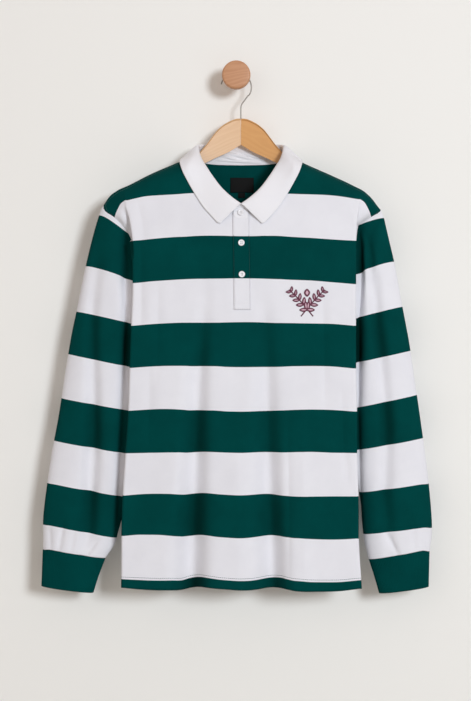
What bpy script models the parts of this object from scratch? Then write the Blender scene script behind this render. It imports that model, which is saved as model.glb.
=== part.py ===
"""Rugby shirt on a wooden hanger, hung on a round wall peg.

Metres, +Z up. The origin is the centre of the peg's flat back on the wall plane y = 0.
The shirt's front faces -Y. Left and right are the wearer's: left is +X, right is -X.
Heights are given as "drop": how far a point lies below the origin.
"""
import math
from collections import namedtuple

import bmesh
import bpy
import numpy as np
from mathutils import Vector

LEFT, RIGHT = 1, -1

# ---- driving dimensions ------------------------------------------------------------------
CLOTH_WALL = 0.0016          # heavy cotton jersey
COLLAR_WALL = 0.0014         # cotton twill
SEAM_GAP = 0.0003            # between sewn pieces
MIDDLE = 0.008               # x of the hanger's joint, the collar and the shoulders
HEM_DROP = 0.866             # bottom edge of front and back
HEM_LIFT = 0.0045            # how much higher it hangs at the side folds
FOLD_RADIUS = 0.004          # rounding of the body's side folds
SHOULDER_ROLL = 0.034        # height over which the cloth turns from the seam to the panel
FRONT_CROWN = 0.006          # how far the front bows out at its middle
BACK_CROWN = 0.012           # the same for the back
BACK_INSET = 0.011           # the back's side folds lie this far inside the front's
BACK_INSET_DROPS = (0.200, 0.330)   # drops between which that inset grows from nothing
UNDERARM_DOWN = 0.367        # the armhole's share of a side edge, from tip to hem
DRIFT_WIDTH = 0.050          # cloth this near a hanging fold leans with it
LEAF_CLEAR = 0.0045          # between the collar leaf and the front under it
LEAF_CLEAR_BACK = 0.0080     # the same at its edge on the back

PLACKET_WIDTH = 0.0285
PLACKET_TOP = 0.2310         # drop of its top edge
PLACKET_BOTTOM = 0.4000
PLACKET_WALL = 0.0018
BUTTON_RADIUS = 0.0053
BUTTON_THICK = 0.0024
BUTTON_DROPS = (0.2385, 0.2890, 0.3415)

PEG_HEAD_RADIUS = 0.0242
PEG_HEAD_BACK = 0.046        # distance of the head's back from the wall
PEG_LENGTH = 0.062
PEG_STEM_RADIUS = 0.007
HOOK_WIRE = 0.0030           # diameter
HOOK_RADIUS = 0.026          # middle line of the hook's bend
HOOK_DEPTH = -0.034          # y of the hook's plane
HANGER_THICK = 0.013
HANGER_REACH = 0.212         # from the joint to each tip

# ---- tables ------------------------------------------------------------------------------
# Side folds of the body: x on each side, and y of the front and back panels there.
BodyRow = namedtuple("BodyRow", "drop right_x left_x front_y back_y")
BODY = (
    BodyRow(0.190, -0.1870, 0.2090, -0.094, -0.036),
    BodyRow(0.232, -0.1840, 0.2060, -0.100, -0.034),
    BodyRow(0.286, -0.1750, 0.2000, -0.105, -0.032),
    BodyRow(0.355, -0.1725, 0.1995, -0.107, -0.031),
    BodyRow(0.426, -0.1750, 0.1990, -0.108, -0.030),
    BodyRow(0.495, -0.1775, 0.1990, -0.108, -0.030),
    BodyRow(0.567, -0.1800, 0.2005, -0.108, -0.030),
    BodyRow(0.637, -0.1845, 0.2015, -0.108, -0.030),
    BodyRow(0.710, -0.1890, 0.2035, -0.109, -0.030),
    BodyRow(0.780, -0.1910, 0.2040, -0.110, -0.030),
    BodyRow(0.866, -0.1910, 0.2085, -0.110, -0.030),
)

# Shoulder seam from the neck point to the tip: distance out from MIDDLE, and its drop.
ShoulderRow = namedtuple("ShoulderRow", "out right_drop left_drop")
SHOULDER = (
    ShoulderRow(0.0880, 0.1405, 0.1405),
    ShoulderRow(0.1050, 0.1477, 0.1490),
    ShoulderRow(0.1550, 0.1702, 0.1722),
    ShoulderRow(0.1890, 0.1885, 0.1890),
    ShoulderRow(0.2100, 0.1989, 0.2013),
    ShoulderRow(0.2225, 0.2094, 0.2141),
    ShoulderRow(0.2310, 0.2225, 0.2260),
    ShoulderRow(0.2375, 0.2300, 0.2345),
)

# Armhole edges, then the side seam: distance out past the side fold, and y.
SideRow = namedtuple("SideRow", "drop front_out front_y back_out back_y")
SIDES = (
    SideRow(0.228, 0.0385, -0.0790, 0.0385, -0.0725),
    SideRow(0.243, 0.0245, -0.0800, 0.0300, -0.0600),
    SideRow(0.261, 0.0090, -0.0790, 0.0190, -0.0500),
    SideRow(0.285, 0.0000, -0.0780, 0.0070, -0.0450),
    SideRow(0.350, -0.0100, -0.0770, -0.0090, -0.0430),
    SideRow(0.410, -0.0160, -0.0760, -0.0160, -0.0480),
    SideRow(0.444, -0.0190, -0.0740, -0.0190, -0.0560),
    SideRow(0.462, -0.0200, -0.0670, -0.0200, -0.0667),
    SideRow(0.866, -0.0200, -0.0670, -0.0200, -0.0667),
)

# Deep hanging folds: middle line, how far the cloth draws back, half-width.
FoldRow = namedtuple("FoldRow", "drop x deep wide")
FRONT_FOLDS = (
    (
        FoldRow(0.360, -0.042, 0.000, 0.014),
        FoldRow(0.440, -0.048, 0.005, 0.015),
        FoldRow(0.520, -0.053, 0.012, 0.017),
        FoldRow(0.600, -0.0575, 0.020, 0.019),
        FoldRow(0.700, -0.060, 0.027, 0.021),
        FoldRow(0.866, -0.0645, 0.034, 0.023),
    ),
    (
        FoldRow(0.360, 0.046, 0.000, 0.014),
        FoldRow(0.462, 0.053, 0.006, 0.016),
        FoldRow(0.600, 0.068, 0.019, 0.019),
        FoldRow(0.700, 0.071, 0.025, 0.021),
        FoldRow(0.800, 0.073, 0.030, 0.022),
        FoldRow(0.866, 0.074, 0.033, 0.024),
    ),
)
BACK_FOLDS = (
    (
        FoldRow(0.330, -0.080, 0.000, 0.016),
        FoldRow(0.520, -0.092, 0.012, 0.018),
        FoldRow(0.866, -0.102, 0.024, 0.022),
    ),
    (
        FoldRow(0.420, 0.020, 0.000, 0.015),
        FoldRow(0.600, 0.014, 0.012, 0.018),
        FoldRow(0.866, 0.006, 0.022, 0.021),
    ),
    (
        FoldRow(0.300, 0.113, 0.000, 0.016),
        FoldRow(0.520, 0.118, 0.011, 0.018),
        FoldRow(0.866, 0.124, 0.023, 0.022),
    ),
)

# Stations round half the neck, from the centre front (0) to the centre back (10).
# The neck point, where the shoulder seam starts, is station 7.
NeckRow = namedtuple("NeckRow", "out drop y")
NECK_SEAM = (
    NeckRow(0.0040, 0.2275, -0.1000),
    NeckRow(0.0200, 0.2185, -0.0985),
    NeckRow(0.0420, 0.2020, -0.0940),
    NeckRow(0.0610, 0.1810, -0.0860),
    NeckRow(0.0750, 0.1620, -0.0760),
    NeckRow(0.0830, 0.1500, -0.0670),
    NeckRow(0.0870, 0.1425, -0.0570),
    NeckRow(0.0880, 0.1405, -0.0472),
    NeckRow(0.0760, 0.1450, -0.0340),
    NeckRow(0.0460, 0.1490, -0.0275),
    NeckRow(0.0000, 0.1500, -0.0255),
)
COLLAR_ROLL = (
    NeckRow(0.0015, 0.2245, -0.1110),
    NeckRow(0.0155, 0.2145, -0.1090),
    NeckRow(0.0330, 0.1980, -0.1030),
    NeckRow(0.0488, 0.1763, -0.0935),
    NeckRow(0.0600, 0.1580, -0.0830),
    NeckRow(0.0665, 0.1450, -0.0740),
    NeckRow(0.0707, 0.1310, -0.0640),
    NeckRow(0.0725, 0.1185, -0.0510),
    NeckRow(0.0650, 0.1130, -0.0340),
    NeckRow(0.0400, 0.1110, -0.0235),
    NeckRow(0.0000, 0.1100, -0.0205),
)
# The leaf's free edge; its y is worked out from the panel that it lies on.
LeafRow = namedtuple("LeafRow", "out drop")
LEAF_EDGE = (
    LeafRow(0.0365, 0.2590),
    LeafRow(0.0500, 0.2440),
    LeafRow(0.0630, 0.2290),
    LeafRow(0.0785, 0.2046),
    LeafRow(0.0933, 0.1780),
    LeafRow(0.0995, 0.1640),
    LeafRow(0.1035, 0.1500),
    LeafRow(0.1040, 0.1435),
    LeafRow(0.0960, 0.1490),
    LeafRow(0.0580, 0.1600),
    LeafRow(0.0000, 0.1620),
)
NECK_POINT = 7
CENTRE_BACK = 10

# Sleeves, from the armhole to the cuff: the outer and the inner line, and the tube's depth.
SleeveRow = namedtuple("SleeveRow", "outer_x outer_drop inner_x inner_drop y half_depth")
SLEEVE_ROWS = {
    RIGHT: (
        SleeveRow(-0.2255, 0.2290, -0.1610, 0.4615, -0.070, 0.018),
        SleeveRow(-0.2317, 0.2400, -0.1615, 0.4660, -0.067, 0.024),
        SleeveRow(-0.2446, 0.2830, -0.1625, 0.4770, -0.064, 0.028),
        SleeveRow(-0.2635, 0.3640, -0.1645, 0.5000, -0.061, 0.028),
        SleeveRow(-0.2844, 0.4730, -0.1675, 0.5470, -0.060, 0.026),
        SleeveRow(-0.3025, 0.5850, -0.1720, 0.6240, -0.060, 0.025),
        SleeveRow(-0.3195, 0.6930, -0.1840, 0.7160, -0.060, 0.024),
        SleeveRow(-0.3275, 0.7650, -0.2000, 0.7830, -0.062, 0.0235),
        SleeveRow(-0.3270, 0.8050, -0.2215, 0.8200, -0.064, 0.021),
    ),
    LEFT: (
        SleeveRow(0.2455, 0.2350, 0.1840, 0.4615, -0.070, 0.018),
        SleeveRow(0.2500, 0.2440, 0.1845, 0.4660, -0.067, 0.024),
        SleeveRow(0.2600, 0.2860, 0.1850, 0.4770, -0.064, 0.028),
        SleeveRow(0.2780, 0.3670, 0.1865, 0.5000, -0.061, 0.028),
        SleeveRow(0.2950, 0.4700, 0.1895, 0.5470, -0.060, 0.026),
        SleeveRow(0.3120, 0.5800, 0.1935, 0.6240, -0.060, 0.025),
        SleeveRow(0.3260, 0.6930, 0.2035, 0.7160, -0.060, 0.024),
        SleeveRow(0.3312, 0.7670, 0.2140, 0.7800, -0.062, 0.0235),
        SleeveRow(0.3265, 0.8080, 0.2245, 0.8220, -0.064, 0.021),
    ),
}
SLEEVE_RINGS = 16
SLEEVE_COLUMNS = 20
CUFF_COLUMNS = 24
ARMHOLE_GAP = (0.0010, -0.0008)   # outwards and down, from the panels' edges to the sleeve
SLEEVE_FOLD_DEEP = 0.007     # the soft fold down each sleeve
SLEEVE_FOLD_WIDE = 0.075     # as a share of the sleeve's width
SLEEVE_FOLD_AT = 0.40        # likewise, from the outer line

# Cuffs: corners as outer and inner points at the top and the bottom.
CuffRow = namedtuple("CuffRow", "outer_x outer_drop inner_x inner_drop half_depth")
CUFF_Y = -0.064
CUFF_ROWS = {
    RIGHT: (
        CuffRow(-0.3268, 0.8056, -0.2225, 0.8206, 0.0195),
        CuffRow(-0.3280, 0.8360, -0.2330, 0.8490, 0.0185),
        CuffRow(-0.3291, 0.8655, -0.2418, 0.8769, 0.0180),
    ),
    LEFT: (
        CuffRow(0.3263, 0.8086, 0.2254, 0.8226, 0.0195),
        CuffRow(0.3258, 0.8380, 0.2340, 0.8500, 0.0185),
        CuffRow(0.3252, 0.8666, 0.2419, 0.8777, 0.0180),
    ),
}
CUFF_WALL = 0.0022           # doubled rib

# Hanger: top and bottom line of the wood along each arm.
HangerRow = namedtuple("HangerRow", "out top bottom")
HANGER = (
    HangerRow(0.0000, 0.0700, 0.1163),
    HangerRow(0.0100, 0.0712, 0.1225),
    HangerRow(0.0200, 0.0755, 0.1285),
    HangerRow(0.0300, 0.0815, 0.1335),
    HangerRow(0.0400, 0.0905, 0.1380),
    HangerRow(0.0500, 0.1035, 0.1430),
    HangerRow(0.0600, 0.1170, 0.1480),
    HangerRow(0.0690, 0.1275, 0.1530),
    HangerRow(0.0800, 0.1430, 0.1610),
    HangerRow(0.0900, 0.1495, 0.1680),
    HangerRow(0.1050, 0.1550, 0.1780),
    HangerRow(0.1550, 0.1760, 0.2020),
    HangerRow(0.1890, 0.1940, 0.2190),
    HangerRow(0.2060, 0.2050, 0.2240),
    HangerRow(HANGER_REACH, 0.2110, 0.2190),
)

# Label and tab inside the back: middle x, top drop, width, height.
Patch = namedtuple("Patch", "name x drop width height")
PATCHES = (
    Patch("neck_label", 0.0100, 0.1710, 0.0400, 0.0255),
    Patch("size_tab", 0.0092, 0.1970, 0.0118, 0.0085),
)
PATCH_WALL = 0.0007

GREEN = (0.002, 0.048, 0.042)
WHITE = (0.745, 0.735, 0.775)
BLACK = (0.012, 0.013, 0.012)
PALE_WOOD = (0.70, 0.47, 0.28)
PEG_WOOD = (0.55, 0.30, 0.17)
STEEL = (0.62, 0.61, 0.60)


# ---- reading the tables ------------------------------------------------------------------
def along(xs, ys, x):
    """The value at x of a smooth curve through (xs, ys) that never swings past a point."""
    xs, ys = np.asarray(xs, float), np.asarray(ys, float)
    steps = np.diff(ys) / np.diff(xs)
    before, after = np.append(steps[0], steps), np.append(steps, steps[-1])
    limit = 3 * np.minimum(abs(before), abs(after))
    slopes = np.where(before * after > 0, np.clip(np.gradient(ys, xs), -limit, limit), 0)
    x = min(max(x, xs[0]), xs[-1])
    i = int(np.clip(np.searchsorted(xs, x) - 1, 0, len(xs) - 2))
    span = xs[i + 1] - xs[i]
    t = (x - xs[i]) / span
    rise = slopes[i] * (t ** 3 - 2 * t ** 2 + t) + slopes[i + 1] * (t ** 3 - t ** 2)
    return float(ys[i] + (ys[i + 1] - ys[i]) * (3 * t ** 2 - 2 * t ** 3) + span * rise)


def read(table, column, key, value):
    """A column of a table, at a value of its key column."""
    return along([getattr(row, key) for row in table], [getattr(row, column) for row in table], value)


def station(table, column, number):
    """A column of a neck table at a station number, whole or not."""
    return along(range(len(table)), [getattr(row, column) for row in table], number)


# ---- the body's form ---------------------------------------------------------------------
def side_fold_x(side, drop):
    return read(BODY, "left_x" if side == LEFT else "right_x", "drop", drop)


def body_middle(drop):
    return (side_fold_x(LEFT, drop) + side_fold_x(RIGHT, drop)) / 2


def inset_of(face, drop):
    """How far a panel's side folds lie inside the body's outline."""
    if face == "front":
        return 0.0
    start, end = BACK_INSET_DROPS
    share = min(max((drop - start) / (end - start), 0.0), 1.0)
    return BACK_INSET * share ** 2 * (3 - 2 * share)


def body_half(face, drop):
    """Half the width of a panel's flat face."""
    width = side_fold_x(LEFT, drop) - side_fold_x(RIGHT, drop)
    return width / 2 - FOLD_RADIUS - inset_of(face, drop)


def ridge_y(out):
    """Depth of the hanger's arm, which sweeps forward, and of the shoulder seam over it."""
    return -0.036 - 0.10 * out - 0.30 * out ** 2


def shoulder_drop(side, out):
    return read(SHOULDER, "left_drop" if side == LEFT else "right_drop", "out", out)


def fold_draw(folds, x, drop):
    """How far the hanging folds draw the cloth back at a point."""
    total = 0.0
    for rows in folds:
        offset = (x - read(rows, "x", "drop", drop)) / read(rows, "wide", "drop", drop)
        total += max(0.0, read(rows, "deep", "drop", drop)) * math.exp(-offset ** 2)
    return total


def fold_drift(folds, x, drop):
    """How far sideways the hanging folds carry cloth that starts at x."""
    total = 0.0
    for rows in folds:
        near = math.exp(-((x - rows[0].x) / DRIFT_WIDTH) ** 2)
        total += near * (read(rows, "x", "drop", drop) - rows[0].x)
    return total


def face_x(face, across, drop):
    """x of a column of a panel's face."""
    x = body_middle(drop) + across * body_half(face, drop)
    return x + fold_drift(FRONT_FOLDS if face == "front" else BACK_FOLDS, x, drop) * (1 - across ** 4)


def face_y(face, x, drop):
    """y of a panel's outer side away from the shoulders."""
    share = min(abs(x - body_middle(drop)) / body_half(face, drop), 1.0)
    bow = 1 - share ** 2
    if face == "front":
        return read(BODY, "front_y", "drop", drop) - FRONT_CROWN * bow + fold_draw(FRONT_FOLDS, x, drop)
    return read(BODY, "back_y", "drop", drop) + BACK_CROWN * bow - fold_draw(BACK_FOLDS, x, drop)


def neck_station_at(face, out):
    """The station of the neck seam that lies this far out, on the front or on the back."""
    low, high = (0.0, NECK_POINT) if face == "front" else (CENTRE_BACK, NECK_POINT)
    for _ in range(30):
        middle = (low + high) / 2
        if station(NECK_SEAM, "out", middle) < out:
            low = middle
        else:
            high = middle
    return (low + high) / 2


def top_of_panel(face, x):
    """Drop and y of a panel's top edge: the neck seam, then the shoulder seam."""
    out = abs(x - MIDDLE)
    if out < NECK_SEAM[NECK_POINT].out - 0.0005:
        number = neck_station_at(face, out)
        return station(NECK_SEAM, "drop", number), station(NECK_SEAM, "y", number)
    steep = min((out - NECK_SEAM[NECK_POINT].out) / (SHOULDER[-1].out - SHOULDER[0].out), 1.0)
    half_gap = 3 * SEAM_GAP + (CLOTH_WALL - SEAM_GAP) * steep ** 2
    y = ridge_y(out) + (half_gap if face == "back" else -half_gap)
    return shoulder_drop(LEFT if x > MIDDLE else RIGHT, out), y


def rolled(top_y, full_y, below):
    """y of cloth that leaves its top edge level and turns down within SHOULDER_ROLL."""
    left = 1 - min(max(below, 0.0) / SHOULDER_ROLL, 1.0)
    return top_y + (full_y - top_y) * math.sqrt(1 - left ** 2)


def surface_y(face, x, drop):
    """y of the outer side of the front or the back at a place between the side folds."""
    top_drop, top_y = top_of_panel(face, x)
    return rolled(top_y, face_y(face, x, drop), drop - top_drop)


# A panel's column: the side it is on, its place across the face (-1 to 1), and its place
# past the side fold (0 at the fold, 1 at the armhole and side seam; None on the face).
Column = namedtuple("Column", "side across past")


def past_fold(face, column, drop):
    """x and y of a column that has turned past the side fold."""
    sign = 1 if face == "front" else -1
    fold_x = side_fold_x(column.side, drop) - column.side * inset_of(face, drop)
    fold_y = read(BODY, face + "_y", "drop", drop) + sign * FOLD_RADIUS
    seam_x = side_fold_x(column.side, drop) + column.side * read(SIDES, face + "_out", "drop", drop)
    seam_y = read(SIDES, face + "_y", "drop", drop)
    return fold_x + (seam_x - fold_x) * column.past, fold_y + (seam_y - fold_y) * column.past


def panel_point(face, column, down):
    """A point of a panel's outer side, down being 0 at its top edge and 1 at the hem."""
    top_drop = BODY[0].drop
    for _ in range(4):
        if column.past is None:
            x = face_x(face, column.across, top_drop)
        else:
            x = past_fold(face, column, top_drop)[0]
        top_drop, top_y = top_of_panel(face, x)
    drop = top_drop + (HEM_DROP - HEM_LIFT * column.across ** 4 - top_drop) * down
    if column.past is None:
        x = face_x(face, column.across, drop)
        y = face_y(face, x, drop)
    else:
        x, y = past_fold(face, column, drop)
    return Vector((x, rolled(top_y, y, drop - top_drop), -drop))


FRONT_NECK_OUTS = (0.004, 0.014, 0.026, 0.038, 0.050, 0.060, 0.070, 0.079, 0.085, 0.088)
BACK_NECK_OUTS = (0.088, 0.082, 0.074, 0.062, 0.048, 0.036, 0.024, 0.012, 0.0)
SHOULDER_OUTS = (0.105, 0.122, 0.139, 0.156, 0.173)
PAST_FOLD = (0.0, 0.25, 0.5, 0.75, 1.0)


def panel_columns(face):
    """Columns from the right side seam to the left one."""
    outs = (FRONT_NECK_OUTS if face == "front" else BACK_NECK_OUTS) + SHOULDER_OUTS
    places = {-1.0, 1.0}
    for side in (RIGHT, LEFT):
        for out in outs:
            x = MIDDLE + side * out
            drop = top_of_panel(face, x)[0]
            places.add(round((x - body_middle(drop)) / body_half(face, drop), 5))
    columns = [Column(RIGHT, -1, share) for share in reversed(PAST_FOLD)]
    columns += [Column(RIGHT if place < 0 else LEFT, place, None) for place in sorted(places)]
    return columns + [Column(LEFT, 1, share) for share in PAST_FOLD]


# ---- meshes ------------------------------------------------------------------------------
def finish(name, mesh, collection, colour, roughness=0.8, metallic=0.0):
    """Puts a mesh in the collection as a named object with its own material."""
    material = bpy.data.materials.new(name)
    material.use_nodes = True
    shader = material.node_tree.nodes["Principled BSDF"]
    shader.inputs["Base Color"].default_value = (*colour, 1)
    shader.inputs["Roughness"].default_value = roughness
    shader.inputs["Metallic"].default_value = metallic
    mesh.materials.append(material)
    mesh.shade_smooth()
    mesh.set_sharp_from_angle(angle=math.radians(40))
    piece = bpy.data.objects.new(name, mesh)
    collection.objects.link(piece)
    return piece


def sheet_mesh(name, rows, closed=False, flip=False):
    """A mesh of one sheet. Rows run down, and points run rightwards seen from outside."""
    width = len(rows[0])
    mesh = bpy.data.meshes.new(name)
    faces = []
    for r in range(len(rows) - 1):
        for c in range(width if closed else width - 1):
            right = (c + 1) % width
            face = (r * width + c, (r + 1) * width + c, (r + 1) * width + right, r * width + right)
            faces.append(face[::-1] if flip else face)
    mesh.from_pydata([point for row in rows for point in row], [], faces)
    return mesh


def add_wall(piece, thickness):
    """Gives a sheet its thickness, inwards."""
    wall = piece.modifiers.new("wall", "SOLIDIFY")
    wall.thickness = thickness
    wall.offset = -1
    return piece


def tube_shares(columns):
    """For each column round a tube: its share of the width from the outer line, and its
    share of the depth, negative in front."""
    shares = []
    for number in range(columns):
        turn = 2 * math.pi * number / columns
        depth = math.sin(turn)
        shares.append(((1 - math.cos(turn)) / 2, -math.copysign(abs(depth) ** 0.8, depth)))
    return shares


def panel_rows():
    """Rows of a panel as shares of the way down; the armhole's meet the sleeve's columns."""
    half = tube_shares(SLEEVE_COLUMNS)[:SLEEVE_COLUMNS // 2 + 1]
    armhole = [UNDERARM_DOWN * across for across, depth in half]
    below = 7
    lower = [UNDERARM_DOWN + (1 - UNDERARM_DOWN) * k / below for k in range(1, below + 1)]
    return sorted(armhole[:-2] + [0.003, 0.020] + armhole[-1:] + lower)


def make_panel(face, collection):
    columns = panel_columns(face)
    if face == "back":
        columns = columns[::-1]
    rows = [[panel_point(face, column, down) for column in columns] for down in panel_rows()]
    add_wall(finish(face, sheet_mesh(face, rows), collection, GREEN), CLOTH_WALL)


# ---- sleeves and cuffs -------------------------------------------------------------------
def armhole_point(side, across, depth):
    """A point just off the armhole, across being 0 at the shoulder tip and 1 under the arm."""
    edge = Column(side, side, 1.0)
    front, back = (panel_point(face, edge, UNDERARM_DOWN * across) for face in ("front", "back"))
    share = 0.5 if abs(depth) < 0.01 else float(depth > 0)
    outwards, down = ARMHOLE_GAP
    return front + (back - front) * share + Vector((side * outwards, 0, down))


def sleeve_ring(side, down):
    """One ring of a sleeve, down being 0 at the armhole and 1 at the cuff."""
    table = SLEEVE_ROWS[side]
    number = down * (len(table) - 1)
    row = SleeveRow(*(station(table, column, number) for column in SleeveRow._fields))
    first = table[0]
    fade = max(0.0, 1 - number / 4) ** 2
    fold = SLEEVE_FOLD_DEEP * math.sqrt(max(0.0, math.sin(math.pi * min(number / 7, 1.0))))
    ring = []
    for across, depth in tube_shares(SLEEVE_COLUMNS):
        point = Vector((row.outer_x + (row.inner_x - row.outer_x) * across,
                        row.y + row.half_depth * depth,
                        -row.outer_drop - (row.inner_drop - row.outer_drop) * across))
        crease = fold * math.exp(-((across - SLEEVE_FOLD_AT) / SLEEVE_FOLD_WIDE) ** 2)
        point.y -= math.copysign(crease, depth)
        if fade > 0:
            plain = Vector((first.outer_x + (first.inner_x - first.outer_x) * across,
                            first.y + first.half_depth * depth,
                            -first.outer_drop - (first.inner_drop - first.outer_drop) * across))
            point += (armhole_point(side, across, depth) - plain) * fade
        ring.append(point)
    return ring


def make_sleeve(side, collection):
    name = "sleeve_left" if side == LEFT else "sleeve_right"
    rows = [sleeve_ring(side, (k / (SLEEVE_RINGS - 1)) ** 1.15) for k in range(SLEEVE_RINGS)]
    mesh = sheet_mesh(name, rows, closed=True, flip=side == LEFT)
    add_wall(finish(name, mesh, collection, GREEN), CLOTH_WALL)


def make_cuff(side, collection):
    name = "cuff_left" if side == LEFT else "cuff_right"
    rows = []
    for row in CUFF_ROWS[side]:
        rows.append([(row.outer_x + (row.inner_x - row.outer_x) * across,
                      CUFF_Y + row.half_depth * depth,
                      -row.outer_drop - (row.inner_drop - row.outer_drop) * across)
                     for across, depth in tube_shares(CUFF_COLUMNS)])
    mesh = sheet_mesh(name, rows, closed=True, flip=side == LEFT)
    add_wall(finish(name, mesh, collection, GREEN), CUFF_WALL)


# ---- collar ------------------------------------------------------------------------------
def neck_point(table, side, number):
    return Vector((MIDDLE + side * station(table, "out", number),
                   station(table, "y", number), -station(table, "drop", number)))


def clear_of_panel(point, number):
    """Moves a point of the leaf off the front or the back, where it is too near."""
    if number == NECK_POINT:
        return point
    face, sign = ("front", -1) if number < NECK_POINT else ("back", 1)
    drop = LEAF_CLEAR - point.z
    over = min(max((drop - top_of_panel(face, point.x)[0]) / LEAF_CLEAR, 0.0), 1.0)
    short = sign * (surface_y(face, point.x, drop) - point.y) + LEAF_CLEAR
    point.y += sign * max(short, 0.0) * over
    return point


def leaf_edge_point(side, number):
    """The leaf's free edge, held just off the panel under it."""
    x = MIDDLE + side * station(LEAF_EDGE, "out", number)
    drop = station(LEAF_EDGE, "drop", number)
    y = ridge_y(abs(x - MIDDLE))
    over = abs(number - NECK_POINT)
    if over > 0:
        face, lift = ("front", -LEAF_CLEAR) if number < NECK_POINT else ("back", LEAF_CLEAR_BACK)
        y += (surface_y(face, x, drop) + lift - y) * min(over, 1.0)
    return Vector((x, y, -drop))


def collar_walk():
    """Stations in order round the neck, rightwards seen from outside."""
    numbers = [neck_station_at("front", out) for out in FRONT_NECK_OUTS[:-1]]
    numbers += [6.25, float(NECK_POINT)]
    numbers += [neck_station_at("back", out) for out in BACK_NECK_OUTS[1:]]
    walk = [(LEFT, number) for number in numbers]
    return walk + [(RIGHT, number) for number in reversed(numbers[:-1])]


def collar_frame(side, number):
    """The seam, the roll, and two directions: up the band, and out to the leaf."""
    seam, roll = neck_point(NECK_SEAM, side, number), neck_point(COLLAR_ROLL, side, number)
    edge = leaf_edge_point(side, number)
    up = (roll - seam).normalized()
    out = edge - roll
    out = (out - up * out.dot(up)).normalized()
    return seam, roll, edge, up, out


def make_collar_band(collection):
    rows = []
    for share in (1, 0.7, 0.35, 0):
        row = []
        for side, number in collar_walk():
            seam, roll, edge, up, out = collar_frame(side, number)
            low = seam + up * 0.0009
            row.append(low + (roll - low) * share + out * 0.0012 * math.sin(math.pi * share))
        rows.append(row)
    mesh = sheet_mesh("collar_band", rows)
    add_wall(finish("collar_band", mesh, collection, WHITE), COLLAR_WALL)


def make_collar_leaf(collection):
    columns = []
    for side, number in collar_walk():
        seam, roll, edge, up, out = collar_frame(side, number)
        start = roll - out * COLLAR_WALL + up * 0.0012
        column = [start, start + up * 0.0016 + out * 0.0005,
                  roll + up * 0.0040 + out * 0.0012, roll + up * 0.0024 + out * 0.0044]
        last = column[-1]
        for step in range(1, 6):
            share = step / 5
            point = last + (edge - last) * share + up * 0.0015 * math.sin(math.pi * share)
            column.append(clear_of_panel(point, number))
        columns.append(column)
    rows = [[column[k] for column in columns] for k in range(len(columns[0]))]
    mesh = sheet_mesh("collar_leaf", rows)
    add_wall(finish("collar_leaf", mesh, collection, WHITE), COLLAR_WALL)


# ---- placket, buttons, label -------------------------------------------------------------
def placket_middle(drop):
    return 0.0076 + 0.0026 * (drop - PLACKET_TOP) / (PLACKET_BOTTOM - PLACKET_TOP)


def make_placket(collection):
    rows = []
    steps = 9
    for k in range(steps + 1):
        drop = PLACKET_TOP + (PLACKET_BOTTOM - PLACKET_TOP) * k / steps
        xs = [placket_middle(drop) + PLACKET_WIDTH * share for share in (-0.5, -0.25, 0, 0.25, 0.5)]
        lift = PLACKET_WALL + 2 * SEAM_GAP
        rows.append([(x, surface_y("front", x, drop) - lift, -drop) for x in xs])
    add_wall(finish("placket", sheet_mesh("placket", rows), collection, WHITE), PLACKET_WALL)


def make_button(number, drop, collection):
    mesh = bpy.data.meshes.new("button")
    form = bmesh.new()
    bmesh.ops.create_cone(form, cap_ends=True, segments=18, radius1=BUTTON_RADIUS,
                          radius2=BUTTON_RADIUS, depth=BUTTON_THICK)
    form.to_mesh(mesh)
    form.free()
    button = finish("button_%d" % number, mesh, collection, WHITE, roughness=0.35)
    x = placket_middle(drop)
    above, below = (surface_y("front", x, drop + step) for step in (-BUTTON_RADIUS, BUTTON_RADIUS))
    lift = PLACKET_WALL + 5 * SEAM_GAP + BUTTON_THICK / 2
    button.location = (x, (above + below) / 2 - lift, -drop)
    button.rotation_euler = (math.pi / 2 + math.atan2(below - above, 2 * BUTTON_RADIUS), 0, 0)
    edge = button.modifiers.new("edge", "BEVEL")
    edge.width = 0.0007
    edge.segments = 1
    edge.limit_method = "ANGLE"


def make_patch(patch, collection):
    rows = []
    lift = CLOTH_WALL + 2 * SEAM_GAP + PATCH_WALL
    for down in (0, 0.25, 0.5, 0.75, 1):
        drop = patch.drop + patch.height * down
        xs = [patch.x + patch.width * share for share in (-0.5, -0.25, 0, 0.25, 0.5)]
        rows.append([(x, surface_y("back", x, drop) - lift, -drop) for x in xs])
    mesh = sheet_mesh(patch.name, rows)
    add_wall(finish(patch.name, mesh, collection, BLACK), PATCH_WALL)


# ---- hanger, hook and peg ----------------------------------------------------------------
def make_hanger_half(side, collection):
    """One arm: rounded sections along the arm, closed at the joint and at the tip."""
    name = "hanger_left" if side == LEFT else "hanger_right"
    outs = [row.out for row in HANGER]
    outs[0] = SEAM_GAP / 2
    corner = 0.0035
    rings = []
    for out in outs:
        top, bottom = read(HANGER, "top", "out", out), read(HANGER, "bottom", "out", out)
        half = HANGER_THICK / 2 * (1 - 0.25 * (out / HANGER_REACH) ** 4)
        cut = min(corner, (bottom - top) / 3, half * 0.6)
        y = ridge_y(out)
        section = ((-half + cut, top), (-half, top + cut), (-half, bottom - cut),
                   (-half + cut, bottom), (half - cut, bottom), (half, bottom - cut),
                   (half, top + cut), (half - cut, top))
        rings.append([(MIDDLE + side * out, y + dy, -drop) for dy, drop in section])
    count = len(rings[0])
    mesh = bpy.data.meshes.new(name)
    faces = [tuple(range(count)), tuple(len(rings) * count - 1 - k for k in range(count))]
    for r in range(len(rings) - 1):
        for k in range(count):
            after = (k + 1) % count
            faces.append((r * count + k, (r + 1) * count + k, (r + 1) * count + after, r * count + after))
    mesh.from_pydata([point for ring in rings for point in ring], [], faces)
    form = bmesh.new()
    form.from_mesh(mesh)
    bmesh.ops.recalc_face_normals(form, faces=form.faces)
    form.to_mesh(mesh)
    form.free()
    finish(name, mesh, collection, PALE_WOOD, roughness=0.45)


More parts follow.
